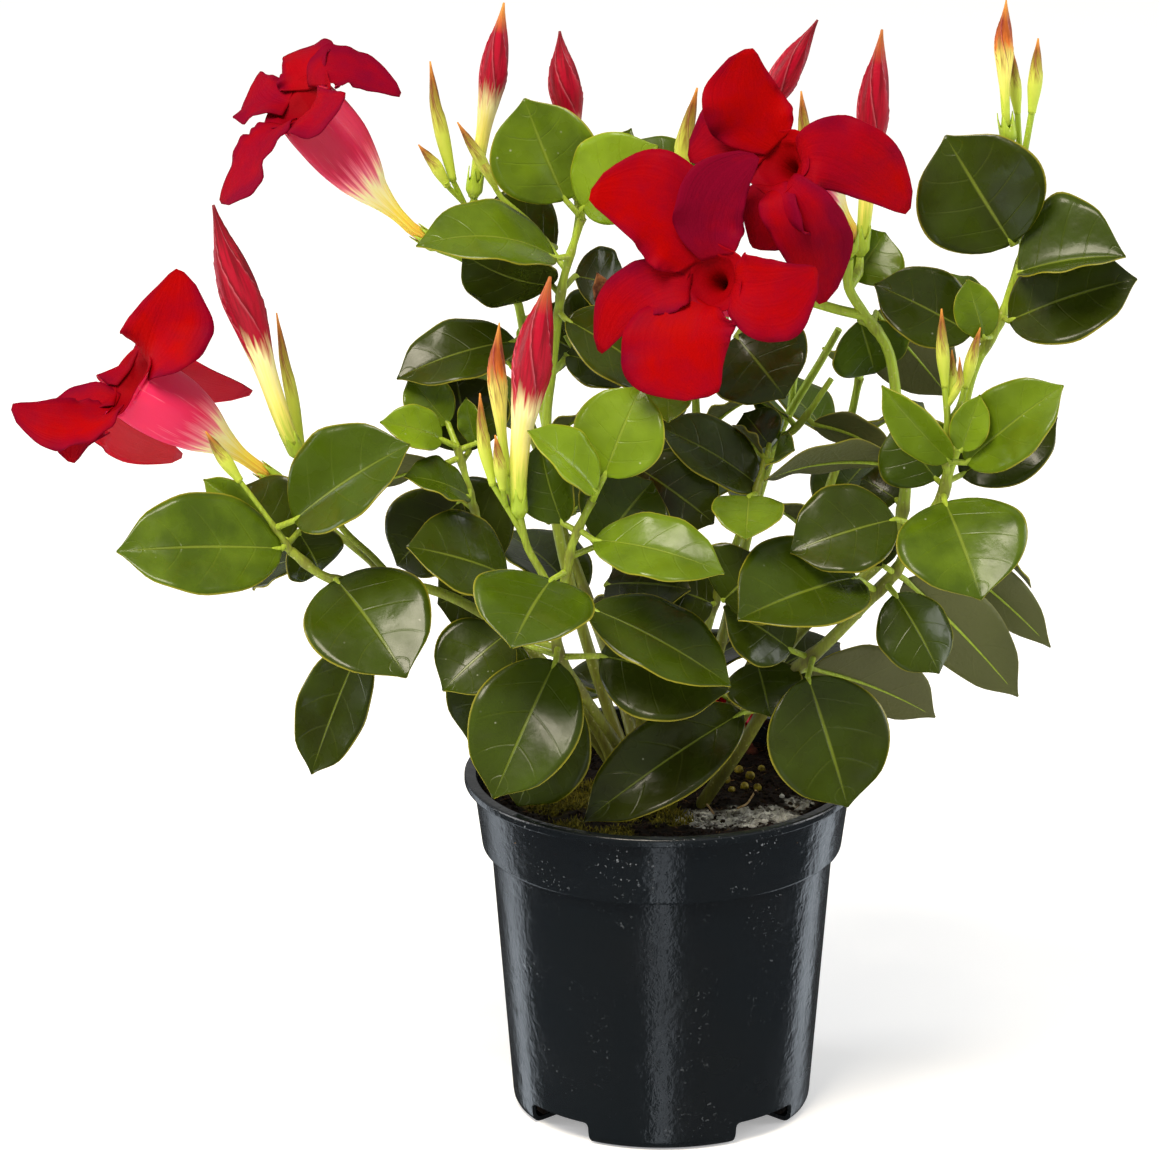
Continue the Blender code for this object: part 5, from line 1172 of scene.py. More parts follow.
def bud_skin(settings, name, colours, stretch):
    """Skin of a wrapped bud: satin petal tissue whose colour climbs the bud in ragged streaks."""
    material, add, place = patterned(name, Roughness=0.42, IOR=1.4, Specular_IOR_Level=0.3)
    spot, _, height, ripeness = skin_map(add)
    long = add("Mapping", {"Vector": spot, "Scale": (stretch, 1.8, 1.0)})
    streaks = add("TexNoise", {"Vector": long, "Scale": 1.0, "Detail": 3.0, "Roughness": 0.7})
    shift = add("MapRange", (streaks, 0.3, 0.7, -0.13, 0.13))
    up = add("Math", (height, shift), operation="ADD")
    ripe = add("MapRange", (ripeness, 0.0, 1.0, -0.26, 0.0))
    up = add("Math", (up, ripe), operation="ADD")
    base = add("ValToRGB", {"Fac": up}, stops=colours)
    # The edge of each wrapped petal: painted shade darkens its crease and a painted highlight lightens the rim
    # beside it
    wound = add("VectorMath", (spot, (PETALS_OF_A_BLOOM, PETALS_OF_A_BLOOM * settings.turns, 0.0)),
                out="Value", operation="DOT_PRODUCT")
    wound = add("Math", (wound,), operation="FRACT")
    high = add("MapRange", (height, 0.4, 0.55))
    crease_shade = add("MapRange", (wound, 0.0, 0.16, 0.7, 0.0), **SMOOTH)
    crease_shade = add("Math", (crease_shade, high), operation="MULTIPLY")
    base = add("Mix", {"Factor_Float": crease_shade, "A_Color": base, "B_Color": settings.tip}, **BLEND)
    shadow = add("MapRange", (streaks, 0.4, 0.54, 0.75, 0.0))
    shadow = add("Math", (shadow, high), operation="MULTIPLY")
    base = add("Mix", {"Factor_Float": shadow, "A_Color": base, "B_Color": settings.tip}, **BLEND)
    # Painted highlight along the rim of each wrapped petal
    rim = add("MapRange", (wound, 0.9, 0.98, 0.0, 0.22))
    rim = add("Math", (rim, high), operation="MULTIPLY")
    base = add("Mix", {"Factor_Float": rim, "A_Color": base, "B_Color": linear("#F29AA6")}, **BLEND)
    # A bud that isn't ripe keeps a pale orange tip
    unripe = add("MapRange", (ripeness, 0.6, 0.95, 0.9, 0.0))
    end = add("MapRange", (height, 0.84, 0.98))
    end = add("Math", (end, unripe), operation="MULTIPLY")
    base = add("Mix", {"Factor_Float": end, "A_Color": base, "B_Color": linear("#D89440")}, **BLEND)
    fine = add("TexNoise", {"Vector": place, "Scale": 0.9 / MM, "Detail": 2.0})
    relief = add("Math", (fine, streaks), operation="ADD")
    normal = add("Bump", {"Strength": 0.35, "Distance": 0.4 * MM, "Height": relief})
    return dress(material, base, None, normal)


def granular(name, dark, light, size, roughness):
    """A rough crumbly matter in two colours; size is that of its grains in mm."""
    material, add, place = patterned(name, Roughness=roughness, IOR=1.4, Specular_IOR_Level=0.3)
    clumps = add("TexNoise", {"Vector": place, "Scale": 0.35 / (size * MM), "Detail": 5.0,
                              "Roughness": 0.65})
    base = add("ValToRGB", {"Fac": clumps}, stops=((0.38, dark), (0.68, light)))
    grain = add("TexNoise", {"Vector": place, "Scale": 1.0 / (size * MM), "Detail": 4.0})
    normal = add("Bump", {"Strength": 0.8, "Distance": 500 * MM * size * MM, "Height": grain})
    return dress(material, base, None, normal)


def soil_skin(settings):
    """Moist peat, nearly black between brown grains, stained by moss and by a pale mineral crust."""
    material, add, place = patterned("moist_peat", Roughness=0.85, IOR=1.4, Specular_IOR_Level=0.3)
    clumps = add("TexNoise", {"Vector": place, "Scale": 0.42 / MM, "Detail": 6.0, "Roughness": 0.7})
    base = add("ValToRGB", {"Fac": clumps}, stops=((0.4, settings.peat), (0.75, settings.fibre)))
    for mask, shade, scale in (("moss", settings.moss, 0.52 / MM), ("grit", settings.grit, 0.3 / MM)):
        where = add("Attribute", out="Fac", attribute_name=mask)
        ragged = add("TexNoise", {"Vector": place, "Scale": scale, "Detail": 5.0, "Roughness": 0.75})
        ragged = add("MapRange", (ragged, 0.4, 0.58))
        where = add("Math", (where, ragged), operation="MULTIPLY")
        base = add("Mix", {"Factor_Float": where, "A_Color": base, "B_Color": shade}, **BLEND,
                   clamp_factor=True)
    grain = add("TexNoise", {"Vector": place, "Scale": 0.9 / MM, "Detail": 5.0})
    normal = add("Bump", {"Strength": 0.9, "Distance": 0.8 * MM, "Height": grain})
    return dress(material, base, None, normal)


def pot_plastic(settings):
    """Recycled polypropylene, moulded: blue-black and semi-gloss, with fine scratches and settled dust."""
    material, add, place = patterned("moulded_polypropylene", Roughness=0.3, IOR=1.49)
    wide = add("TexNoise", {"Vector": place, "Scale": 0.028 / MM, "Detail": 4.0})
    fine = add("TexNoise", {"Vector": place, "Scale": 1.3 / MM, "Detail": 2.0})
    long = add("Mapping", {"Vector": place, "Scale": (1.0, 1.0, 0.05)})
    drawn = add("TexNoise", {"Vector": long, "Scale": 0.26 / MM, "Detail": 3.0})
    gloss = add("MapRange", (wide, 0.35, 0.65, 0.13, 0.28))
    # Dust specks about half a millimetre across, thickest on the band
    specks = add("TexNoise", {"Vector": place, "Scale": 0.7 / MM, "Detail": 3.0, "Roughness": 0.7})
    specks = add("MapRange", (specks, 0.63, 0.69, 0.0, 0.7))
    patches = add("TexNoise", {"Vector": place, "Scale": 0.06 / MM, "Detail": 5.0})
    patches = add("MapRange", (patches, 0.5, 0.62))
    specks = add("Math", (specks, patches), operation="MULTIPLY")
    height = add("SeparateXYZ", {"Vector": place}, out="Z")
    on_band = add("MapRange", (height, 86 * MM, 96 * MM, 0.35, 1.0))
    specks = add("Math", (specks, on_band), operation="MULTIPLY")
    base = add("Mix", {"Factor_Float": specks, "A_Color": settings.plastic, "B_Color": settings.dust},
               **BLEND)
    # Low waves from the mould break the edges of what the wall mirrors
    waves = add("TexNoise", {"Vector": place, "Scale": 0.19 / MM, "Detail": 4.0, "Roughness": 0.65})
    waves = add("Math", (waves, 6.0), operation="MULTIPLY")
    relief = add("Math", (fine, drawn), operation="ADD")
    relief = add("Math", (relief, 0.35), operation="MULTIPLY")
    relief = add("Math", (relief, waves), operation="ADD")
    normal = add("Bump", {"Strength": 0.2, "Distance": 0.3 * MM, "Height": relief})
    return dress(material, base, gloss, normal)


def finish_piece(thing, nodes):
    """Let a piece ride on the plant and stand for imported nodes."""
    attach(thing, BODY)
    if nodes:
        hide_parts(*nodes)
    return thing


def geometry_tree(name, **inputs):
    """A Geometry Nodes tree with a geometry input and more, each named with the kind of its socket. With it
    come the function that adds its nodes and the sockets of its inputs by name."""
    tree = bpy.data.node_groups.new(name, "GeometryNodeTree")
    tree.interface.new_socket("Geometry", in_out="INPUT", socket_type="NodeSocketGeometry")
    tree.interface.new_socket("Geometry", in_out="OUTPUT", socket_type="NodeSocketGeometry")
    for label, kind in inputs.items():
        tree.interface.new_socket(label, in_out="INPUT", socket_type="NodeSocket" + kind)
    source = tree.nodes.new("NodeGroupInput")
    return tree, functools.partial(add_node, tree), {socket.name: socket for socket in source.outputs}


def close_tree(add, geometry, material):
    """End a tree in Realize Instances and Set Material."""
    real = add("GeometryNodeRealizeInstances", (geometry,))
    dressed = add("GeometryNodeSetMaterial", {0: real, 2: material})
    smooth = add("GeometryNodeSetShadeSmooth", (dressed,))
    add("NodeGroupOutput", (smooth,))


def keep_result(thing):
    """Make an object's modified shape its plain mesh."""
    bpy.context.view_layer.update()
    evaluated = thing.evaluated_get(bpy.context.evaluated_depsgraph_get())
    mesh = bpy.data.meshes.new_from_object(evaluated)
    thing.modifiers.clear()
    thing.data = mesh


def apply_tree(thing, tree, values):
    """Run a tree on an object and keep its result as the object's plain mesh."""
    modifier = thing.modifiers.new(tree.name, "NODES")
    modifier.node_group = tree
    for item in tree.interface.items_tree:
        if item.in_out == "INPUT" and item.name in values:
            modifier[item.identifier] = values[item.name]
    keep_result(thing)


def stem_tree():
    """Skins polylines with round stems whose radius comes from each point, with low bumps along them."""
    tree, add, given = geometry_tree("stem skin", Sides="Int", Relief="Float", Rind="Material")
    line = add("GeometryNodeMeshToCurve", (given["Geometry"],))
    radius = add("GeometryNodeInputNamedAttribute", {"Name": "radius"}, data_type="FLOAT")
    circle = add("GeometryNodeCurvePrimitiveCircle", {"Resolution": given["Sides"], "Radius": 1.0})
    skin = add("GeometryNodeCurveToMesh", {"Curve": line, "Profile Curve": circle, "Scale": radius,
                                           "Fill Caps": True})
    bumps = add("TexNoise", {"Scale": 0.26 / MM, "Detail": 1.0})
    bumps = add("Math", (bumps, 0.5), operation="SUBTRACT")
    bumps = add("Math", (bumps, given["Relief"]), operation="MULTIPLY")
    outward = add("GeometryNodeInputNormal")
    offset = add("VectorMath", {0: outward, "Scale": bumps}, operation="SCALE")
    skin = add("GeometryNodeSetPosition", {"Geometry": skin, "Offset": offset})
    close_tree(add, skin, given["Rind"])
    return tree


def polylines(name, lines):
    """An object of loose polylines; each line is a list of (point, radius in mm, tone)."""
    points = [point for line in lines for point, _, _ in line]
    edges = []
    first = 0
    for line in lines:
        edges += [(number, number + 1) for number in range(first, first + len(line) - 1)]
        first += len(line)
    mesh = bpy.data.meshes.new(name)
    mesh.from_pydata([tuple(point) for point in points], edges, [])
    radii = [radius * MM for line in lines for _, radius, _ in line]
    tones = [tone for line in lines for _, _, tone in line]
    mesh.attributes.new("radius", "FLOAT", "POINT").data.foreach_set("value", radii)
    mesh.attributes.new("tone", "FLOAT", "POINT").data.foreach_set("value", tones)
    return new_object(name, mesh)


def stem_tone(point):
    """How brown a stem is at a point: most near the soil."""
    return 0.9 * smooth_step(STEM_BROWN_BELOW * MM, SOIL_LEVEL * MM, point.z) + 0.08


def twig_line(twig, path, joints, settings):
    """A twig's points with its radius, swollen at the joints where leaves grow."""
    line = []
    last = len(path) - 1
    for number, point in enumerate(path):
        radius = twig.start_radius + (twig.end_radius - twig.start_radius) * number / last
        near = min([(point - joint).length for joint in joints] or [1.0]) / (JOINT_REACH * MM)
        node = math.exp(-near * near)
        radius += settings.node_swell / MM * node
        line.append((point, radius, stem_tone(point) + JOINT_TONE * node))
    return line


def stalk_line(root, foot, axes, leaf, settings):
    """A leaf stalk that runs on under the blade as its raised midrib."""
    along, _, normal, length = axes
    radius = settings.stalk_radius / MM
    tone = 0.1 + 0.25 * leaf.age
    middle = root.lerp(foot, 0.5)
    line = [(root, radius * STALK_FOOT_SWELL, tone), (middle, radius, tone), (foot, radius, tone)]
    for number in range(1, RIB_STEPS):
        t = number / RIB_STEPS
        thin = radius * RIB_SHARE * (1.0 - t) + RIB_END_RADIUS
        lift = length * leaf.arch * 4 * t * (1 - t) - (thin - RIB_END_RADIUS) * MM
        line.append((foot + along * length * t + normal * lift, thin, tone * 0.6))
    return line


def blade_outline(t):
    """Half the width of a finished blade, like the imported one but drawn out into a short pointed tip."""
    point = BLADE_POINT * smooth_step(0.8, 1.0, t)
    return math.sin(math.pi * t ** BLADE_SKEW) ** (BLADE_FULLNESS + point)


def blade_grid(foot, axes, leaf, settings, seed):
    """Rows of points over the middle surface of a leaf blade, folded, arched, and waved at its edge."""
    along, side, normal, length = axes
    draw = random.Random(seed)
    phase = draw.uniform(0.0, math.tau)
    waves = draw.uniform(*BLADE_WAVES)
    sag = draw.uniform(*BLADE_SAG)
    rise = math.radians(leaf.fold)
    flat, steep = math.sqrt(FOLD_ROUNDING), math.sqrt(1.0 + FOLD_ROUNDING)
    grid = []
    for row in range(settings.rows + 1):
        share = row / settings.rows
        t = 0.004 + 0.992 * (0.65 * share + 0.35 * (0.5 - 0.5 * math.cos(math.pi * share)))
        half = 0.5 * leaf.width * blade_outline(t) * MM
        rib = foot + along * length * t + normal * length * leaf.arch * 4 * t * (1 - t)
        line = []
        for column in range(settings.columns + 1):
            across = 2.0 * column / settings.columns - 1.0
            width = abs(across)
            rounded = (math.sqrt(width * width + FOLD_ROUNDING) - flat) / (steep - flat)
            wave = settings.wave * width ** 2.5 * math.sin(math.tau * waves * t + phase + (across > 0) * 2.1)
            lift = half * math.sin(rise) * rounded - sag * half * width ** 3 + wave * math.sin(math.pi * t)
            rank = SIDE_VEINS * (t - VEIN_LEAN * width ** VEIN_BEND)
            quilt = QUILT_HEIGHT * MM * math.cos(math.tau * rank) * width * (1 - width)
            line.append(rib + side * half * math.cos(rise) * across + normal * (lift + quilt))
        grid.append(line)
    return grid


class PlantPlan:
    """Paths and leaf places of every shoot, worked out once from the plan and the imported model."""

    def __init__(self, step):
        self.coarse = {}
        self.fine = {}
        self.leaves = {}
        for name, shoot in all_shoots().items():
            self.coarse[name] = []
            self.fine[name] = []
            for twig in shoot.twigs:
                older = list(self.coarse[name])
                self.coarse[name].append(twig_path(twig, older))
                self.fine[name].append(twig_path(twig, older, step))
            self.leaves[name] = self.find_leaves(name, shoot)

    def find_leaves(self, name, shoot):
        """Root, foot, tip, facing and leaf of every leaf on a shoot, in the bend that it was packed in."""
        placed = [(photo_point(leaf.base), photo_point(leaf.tip), leaf) for leaf in shoot.leaves]
        if name in BACK_TWIGS:
            placed = paired_leaves(self.coarse[name][0])
        surface = packed_surface(name + "_shoot")
        found = []
        for foot, tip, leaf in placed:
            packed_tip, facing = packed_leaf(surface, leaf, foot, tip)
            root = nearest_on_paths(self.coarse[name], foot)
            found.append((root, foot, packed_tip, facing, leaf))
        return found


@functools.lru_cache
def plant_plan(step):
    """The plan of the plant, made once; step is the distance between the rings of a stem."""
    return PlantPlan(step / MM)


def make_stems(plan, settings, rind):
    """The stems and leaf stalks of every shoot."""
    tree = stem_tree()
    for name, shoot in all_shoots().items():
        joints = [root for root, _, _, _, _ in plan.leaves[name]]
        lines = [twig_line(twig, path, joints, settings) for twig, path in zip(shoot.twigs, plan.fine[name])]
        for root, foot, tip, facing, leaf in plan.leaves[name]:
            lines.append(stalk_line(root, foot, leaf_axes(foot, tip, facing), leaf, settings))
        stems = polylines(name + "_stems", lines)
        apply_tree(stems, tree, {"Sides": settings.sides, "Relief": settings.relief, "Rind": rind})
        finish_piece(stems, [name + "_shoot"])


def make_leaves(plan, settings, materials):
    """The blades of every shoot, each shoot's in one piece."""
    seed = 0
    for name in all_shoots():
        skin = Skin()
        for _, foot, tip, facing, leaf in plan.leaves[name]:
            seed += 1
            axes = leaf_axes(foot, tip, facing)
            skin.add_sheet(blade_grid(foot, axes, leaf, settings, seed), settings.thickness, leaf.age)
        blades = skin.make(name + "_leaves", materials)
        finish_piece(blades, [name + "_shoot"])


def make_bract(settings):
    """A dried brown bract that hangs at a node behind the central bloom."""
    skin = Skin()
    foot, tip = photo_point(BRACT.base), photo_point(BRACT.tip)
    skin.add_sheet(blade_grid(foot, leaf_axes(foot, tip, Vector(BRACT.facing)), BRACT, settings, 0),
                   settings.thickness, BRACT.age)
    dry = granular("dry_bract", linear("#4A2412"), linear("#8C5C34"), 2.0, 0.7)
    finish_piece(skin.make("dried_bract", [dry, dry]), [])


def tube_grid(path, shares, radius_at, sides):
    """Rings of points along a path; radius_at gives a radius in mm at a share of the length and an angle."""
    grid = []
    for share, (centre, _, across, up) in zip(shares, frames_at(path, shares)):
        ring = []
        for side in range(sides):
            angle = math.tau * side / sides
            radius = radius_at(share, angle) * MM
            ring.append(centre + (across * math.cos(angle) + up * math.sin(angle)) * radius)
        grid.append(ring)
    return grid


def make_bloom(name, bloom, settings, materials):
    """A bloom: a hollow corolla tube that widens to the throat, and five waved petals."""
    path = trimmed(flower_path(bloom.tube), CALYX_LENGTH + TOUCH_GAP)
    centre = path[-1]
    axis = (path[-1] - path[-3]).normalized()
    skin = Skin()
    sides = settings.funnel_sides
    shares = [number / TUBE_RINGS for number in range(TUBE_RINGS + 1)]

    def outer(share, angle):
        pleat = TUBE_PLEAT * smooth_step(0.3, 1.0, share) * math.cos(PETALS_OF_A_BLOOM * angle + 3.0 * share)
        return bloom.throat_radius * eased(TUBE_PROFILE, share) * (1.0 + pleat)

    shade = sum(petal.shade for petal in bloom.petals) / len(bloom.petals)
    outside = tube_grid(path, shares, outer, sides)
    first = skin.add_grid(outside, shade, 1, wrap=True, rows=(0.0, 0.5))
    skin.close_ring(first, sides, path[0], shade, 1, turned=True)
    lower = throat_collar(path, shares, bloom, sides, settings.thickness)
    upper = throat_collar(path, shares, bloom, sides, 0.0)
    skin.add_grid([outside[-1]] + lower, shade, 1, wrap=True, rows=(0.5, 0.6))
    skin.add_grid([lower[-1]] + upper[::-1], shade, 0, wrap=True, rows=(0.6, 0.5))
    inner_shares = [share for share in shares if share > FUNNEL_FLOOR][::-1]

    def inner(share, angle):
        closing = eased(THROAT_PROFILE, share)
        return min(outer(share, angle) - FUNNEL_WALL, bloom.throat_radius * closing)

    inside = tube_grid(path, inner_shares, inner, sides)
    skin.add_grid([upper[0]] + inside, shade, 0, wrap=True, rows=(0.5, 0.2))
    skin.close_ring(len(skin.points) - sides, sides, along_path(path, FUNNEL_FLOOR), shade, 0, row=0.2)
    for number, petal in enumerate(bloom.petals):
        grid = petal_grid(petal, centre, axis, bloom.throat_radius, settings, number)
        skin.add_sheet(grid, settings.thickness, petal.shade, slots=(0, 1), rows=(0.5, 1.0))
    piece = skin.make(name + "_petals", materials)
    finish_piece(piece, [name])


def throat_collar(path, shares, bloom, sides, drop):
    """Rings of points where the petals' feet run together round the throat, with five low lobes."""
    centre, along, across, up = frames_at(path, shares)[-1]
    grid = []
    for row in range(COLLAR_ROWS):
        share = row / (COLLAR_ROWS - 1)
        ring = []
        for side in range(sides):
            angle = math.tau * side / sides
            lobe = 0.5 + 0.5 * math.cos(PETALS_OF_A_BLOOM * angle)
            reach = 0.99 + share * (0.2 + 0.14 * lobe)
            rise = 0.02 + share * (0.2 - 0.06 * lobe)
            spoke = across * math.cos(angle) + up * math.sin(angle)
            ring.append(centre + (spoke * reach + along * rise) * bloom.throat_radius * MM - along * drop)
        grid.append(ring)
    return grid


def petal_spread(t):
    """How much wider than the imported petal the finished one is: most near its root, where petals overlap."""
    return 1.0 + PETAL_OVERLAP * math.sin(math.pi * min(t / 0.6, 1.0)) ** 2


def petal_grid(petal, centre, axis, radius, settings, seed):
    """Rows of points over a petal, waved at its edges; its upper face looks out of the throat."""
    draw = random.Random(f"{petal.tip} {seed}")
    phase = draw.uniform(0.0, math.tau)
    waves = draw.uniform(*PETAL_WAVES)
    frills = draw.uniform(*PETAL_FRILLS)
    grid = []
    for row in range(settings.petal_rows + 1):
        t = 0.994 * row / settings.petal_rows
        line = []
        for column in range(settings.petal_columns):
            across = 2.0 * column / (settings.petal_columns - 1) - 1.0
            line.append(petal_point(petal, centre, axis, radius, t, across * petal_spread(t)))
        grid.append(line)
    middle = settings.petal_columns // 2
    ahead = (grid[-1][middle] - grid[-4][middle]).normalized()
    normals = grid_normals(grid)
    for row, line in enumerate(grid):
        t = row / settings.petal_rows
        drawn = ahead * settings.point * smooth_step(0.84, 1.0, t) ** 2
        for column in range(len(line)):
            across = 2.0 * column / (settings.petal_columns - 1) - 1.0
            wave = math.sin(math.tau * waves * t + phase + (across > 0) * 1.7) * abs(across) ** 2.2
            frill = math.sin(math.tau * frills * t + 2.0 * phase) * abs(across) ** 6
            ripple = noise.noise(line[column] * (RIPPLE_WAVES / MM)) * PETAL_RIPPLE * MM
            lift = settings.wave * (wave + FRILL_SHARE * frill) * math.sin(math.pi * min(t * 1.1, 1.0))
            lift = lift + ripple * t
            line[column] = line[column] + normals[row][column] * lift + drawn
    out = grid_normals(grid)[len(grid) // 2][middle]
    if out.dot(axis) < 0.0:
        grid = [line[::-1] for line in grid]
    return grid


def make_fallen_petal(settings, materials):
    """A fallen petal that leans on the inside of the pot's rim."""
    root = photo_point(FALLEN_PETAL_ROOT)
    axis = Vector(FALLEN_PETAL_AXIS).normalized()
    skin = Skin()
    grid = petal_grid(FALLEN_PETAL, root, axis, FALLEN_ROOT_RADIUS, settings, 0)
    skin.add_sheet(grid, settings.thickness, FALLEN_PETAL.shade, rows=(0.5, 1.0))
    piece = skin.make("fallen_petal_skin", materials)
    finish_piece(piece, ["fallen_petal"])


def bud_grid(path, width, profile, settings, sides, rows, depth):
    """Rings of a bud: five wrapped petals whose edges wind round its swollen part to the tip."""
    shares = [number / rows for number in range(rows + 1)]

    def radius_at(share, angle):
        wound = PETALS_OF_A_BLOOM * (angle / math.tau + settings.turns * share)
        step = wound - math.floor(wound)
        ridge = step ** BUD_RIDGE_BEND - 0.5
        strength = depth * smooth_step(0.3, 0.55, share)
        return 0.5 * width * eased(profile, share) * (1.0 + strength * ridge)

    return tube_grid(path, shares, radius_at, sides)


def make_bud(name, bud, ripeness, settings, material):
    """A large bud above its calyx."""
    path = trimmed(flower_path(bud.points), CALYX_LENGTH + TOUCH_GAP)
    skin = Skin()
    grid = bud_grid(path, bud.width, BUD_PROFILE, settings, settings.sides, settings.rows, settings.fold)
    skin.add_closed(grid, path[0], path[-1], ripeness, row=1.0)
    finish_piece(skin.make(name + "_skin", [material]), [name])


def make_small_buds(plan, settings, material):
    """The small green buds of each shoot, in one piece a shoot."""
    for name, shoot in all_shoots().items():
        if not shoot.small_buds:
            continue
        skin = Skin()
        sides = settings.sides // 2
        for bud in shoot.small_buds:
            path = flower_path(bud.points)
            path[0] = nearest_on_paths(plan.coarse[name], path[0])
            grid = bud_grid(path, bud.width, SMALL_BUD_PROFILE, settings, sides, SMALL_BUD_ROWS,
                            0.6 * settings.fold)
            skin.add_closed(grid, path[0], path[-1], SMALL_BUD_RIPENESS, row=1.0)
        finish_piece(skin.make(name + "_small_buds", [material]), [name + "_shoot"])


def sepal_cup(skin, foot, path, radius, tone):
    """A calyx: a short cup that ends in five pointed sepals pressed to the flower's foot."""
    length = path_length(path)
    top = CALYX_LENGTH * MM / length
    sides = CALYX_SIDES
    outer = []
    inner = []
    for row in range(CALYX_ROWS):
        rise = row / (CALYX_ROWS - 1)
        ring = []
        lining = []
        for side in range(sides):
            angle = math.tau * side / sides
            lobe = abs((side * PETALS_OF_A_BLOOM / sides) % 1.0 - 0.5) * 2.0
            share = rise * top * (1.0 + 0.9 * lobe ** 1.5 * rise ** 2)
            place, _, across, up = frames_at(path, [min(share, 0.95)])[0]
            girth = radius * (0.55 + 0.45 * smooth_step(0.0, 0.45, rise)) * (1.0 - 0.1 * rise * (1.0 - lobe))
            spoke = across * math.cos(angle) + up * math.sin(angle)
            ring.append(place + spoke * girth * MM)
            lining.append(place + spoke * (girth - CALYX_WALL) * MM)
        outer.append(ring)
        inner.append(lining)
    first = skin.add_grid(outer, tone, 0, wrap=True)
    skin.close_ring(first, sides, foot, tone, 0, turned=True)
    skin.add_grid([outer[-1]] + inner[::-1][:-3], tone, 0, wrap=True)


def make_calyxes(plan, rind):
    """The green calyxes under every bloom and large bud, in one piece a shoot."""
    for name in all_shoots():
        places = [flower.tube for owner, flower in BLOOMS.values() if owner == name]
        places += [bud.points for owner, bud, _ in LARGE_BUDS.values() if owner == name]
        if not places:
            continue
        skin = Skin()
        for points in places:
            path = flower_path(points)
            sepal_cup(skin, nearest_on_paths(plan.coarse[name], path[0]), path, CALYX_RADIUS, 0.05)
        finish_piece(skin.make(name + "_calyxes", [rind]), [name + "_shoot"])


def on_axis(height):
    """The point at a height in metres on the pot's axis."""
    return Vector((0.0, 0.0, height))


def soil_place(column, row):
    """Where the photograph's ray at a column and row meets the soil."""
    up = (FOOT_ROW - row) / PIXELS_PER_MM
    depth = (up - SOIL_LEVEL * math.cos(VIEW_ELEVATION)) / math.sin(VIEW_ELEVATION)
    return Vector(((column - AXIS_COLUMN) / PIXELS_PER_MM, depth, SOIL_LEVEL)) * MM


def nearness(point, spots):
    """How near a point is to any of several (column, row, radius in mm) spots, with a ragged edge."""
    best = 0.0
    for column, row, radius in spots:
        away = (soil_place(column, row) - point).xy.length / (radius * MM)
        best = max(best, 1.0 - smooth_step(0.5, 1.0, away + 0.45 * noise.noise(point * 150.0)))
    return best


def soil_surface(settings, material):
    """The soil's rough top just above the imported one, which tells at each point what lies on it."""
    rings, sides = settings.rings, settings.sides
    radius = settings.radius
    grid = []
    for ring in range(rings):
        share = 1.0 - ring / rings
        line = []
        for side in range(sides):
            angle = math.tau * side / sides
            point = Vector((math.cos(angle), math.sin(angle), 0.0)) * radius * share
            rough = 0.5 + 0.5 * noise.fractal(point * 170.0, 0.7, 2.1, 5)
            point.z = (soil_height(angle, share) + 0.2) * MM + settings.relief * rough
            line.append(point)
        grid.append(line)
    floor = [Vector((point.x, point.y, (SOIL_LEVEL - 3.0) * MM)) for point in grid[0]]
    skin = Skin()
    skin.add_closed([floor] + grid, on_axis(floor[0].z), on_axis(grid[-1][0].z))
    thing = skin.make("soil_surface", [material])
    masks = {"bare": [], "moss": [], "grit": []}
    for number, point in enumerate(skin.points):
        top = number >= sides and number != len(skin.points) - 2
        inside = smooth_step(radius, 0.96 * radius, point.xy.length)
        moss = top * inside * nearness(point, MOSS_SPOTS)
        grit = top * inside * nearness(point, GRIT_SPOTS)
        masks["moss"].append(moss)
        masks["grit"].append(grit)
        masks["bare"].append(top * inside * (1.0 - max(moss, grit)))
    for name, values in masks.items():
        thing.data.attributes.new(name, "FLOAT", "POINT").data.foreach_set("value", values)
    return finish_piece(thing, [])


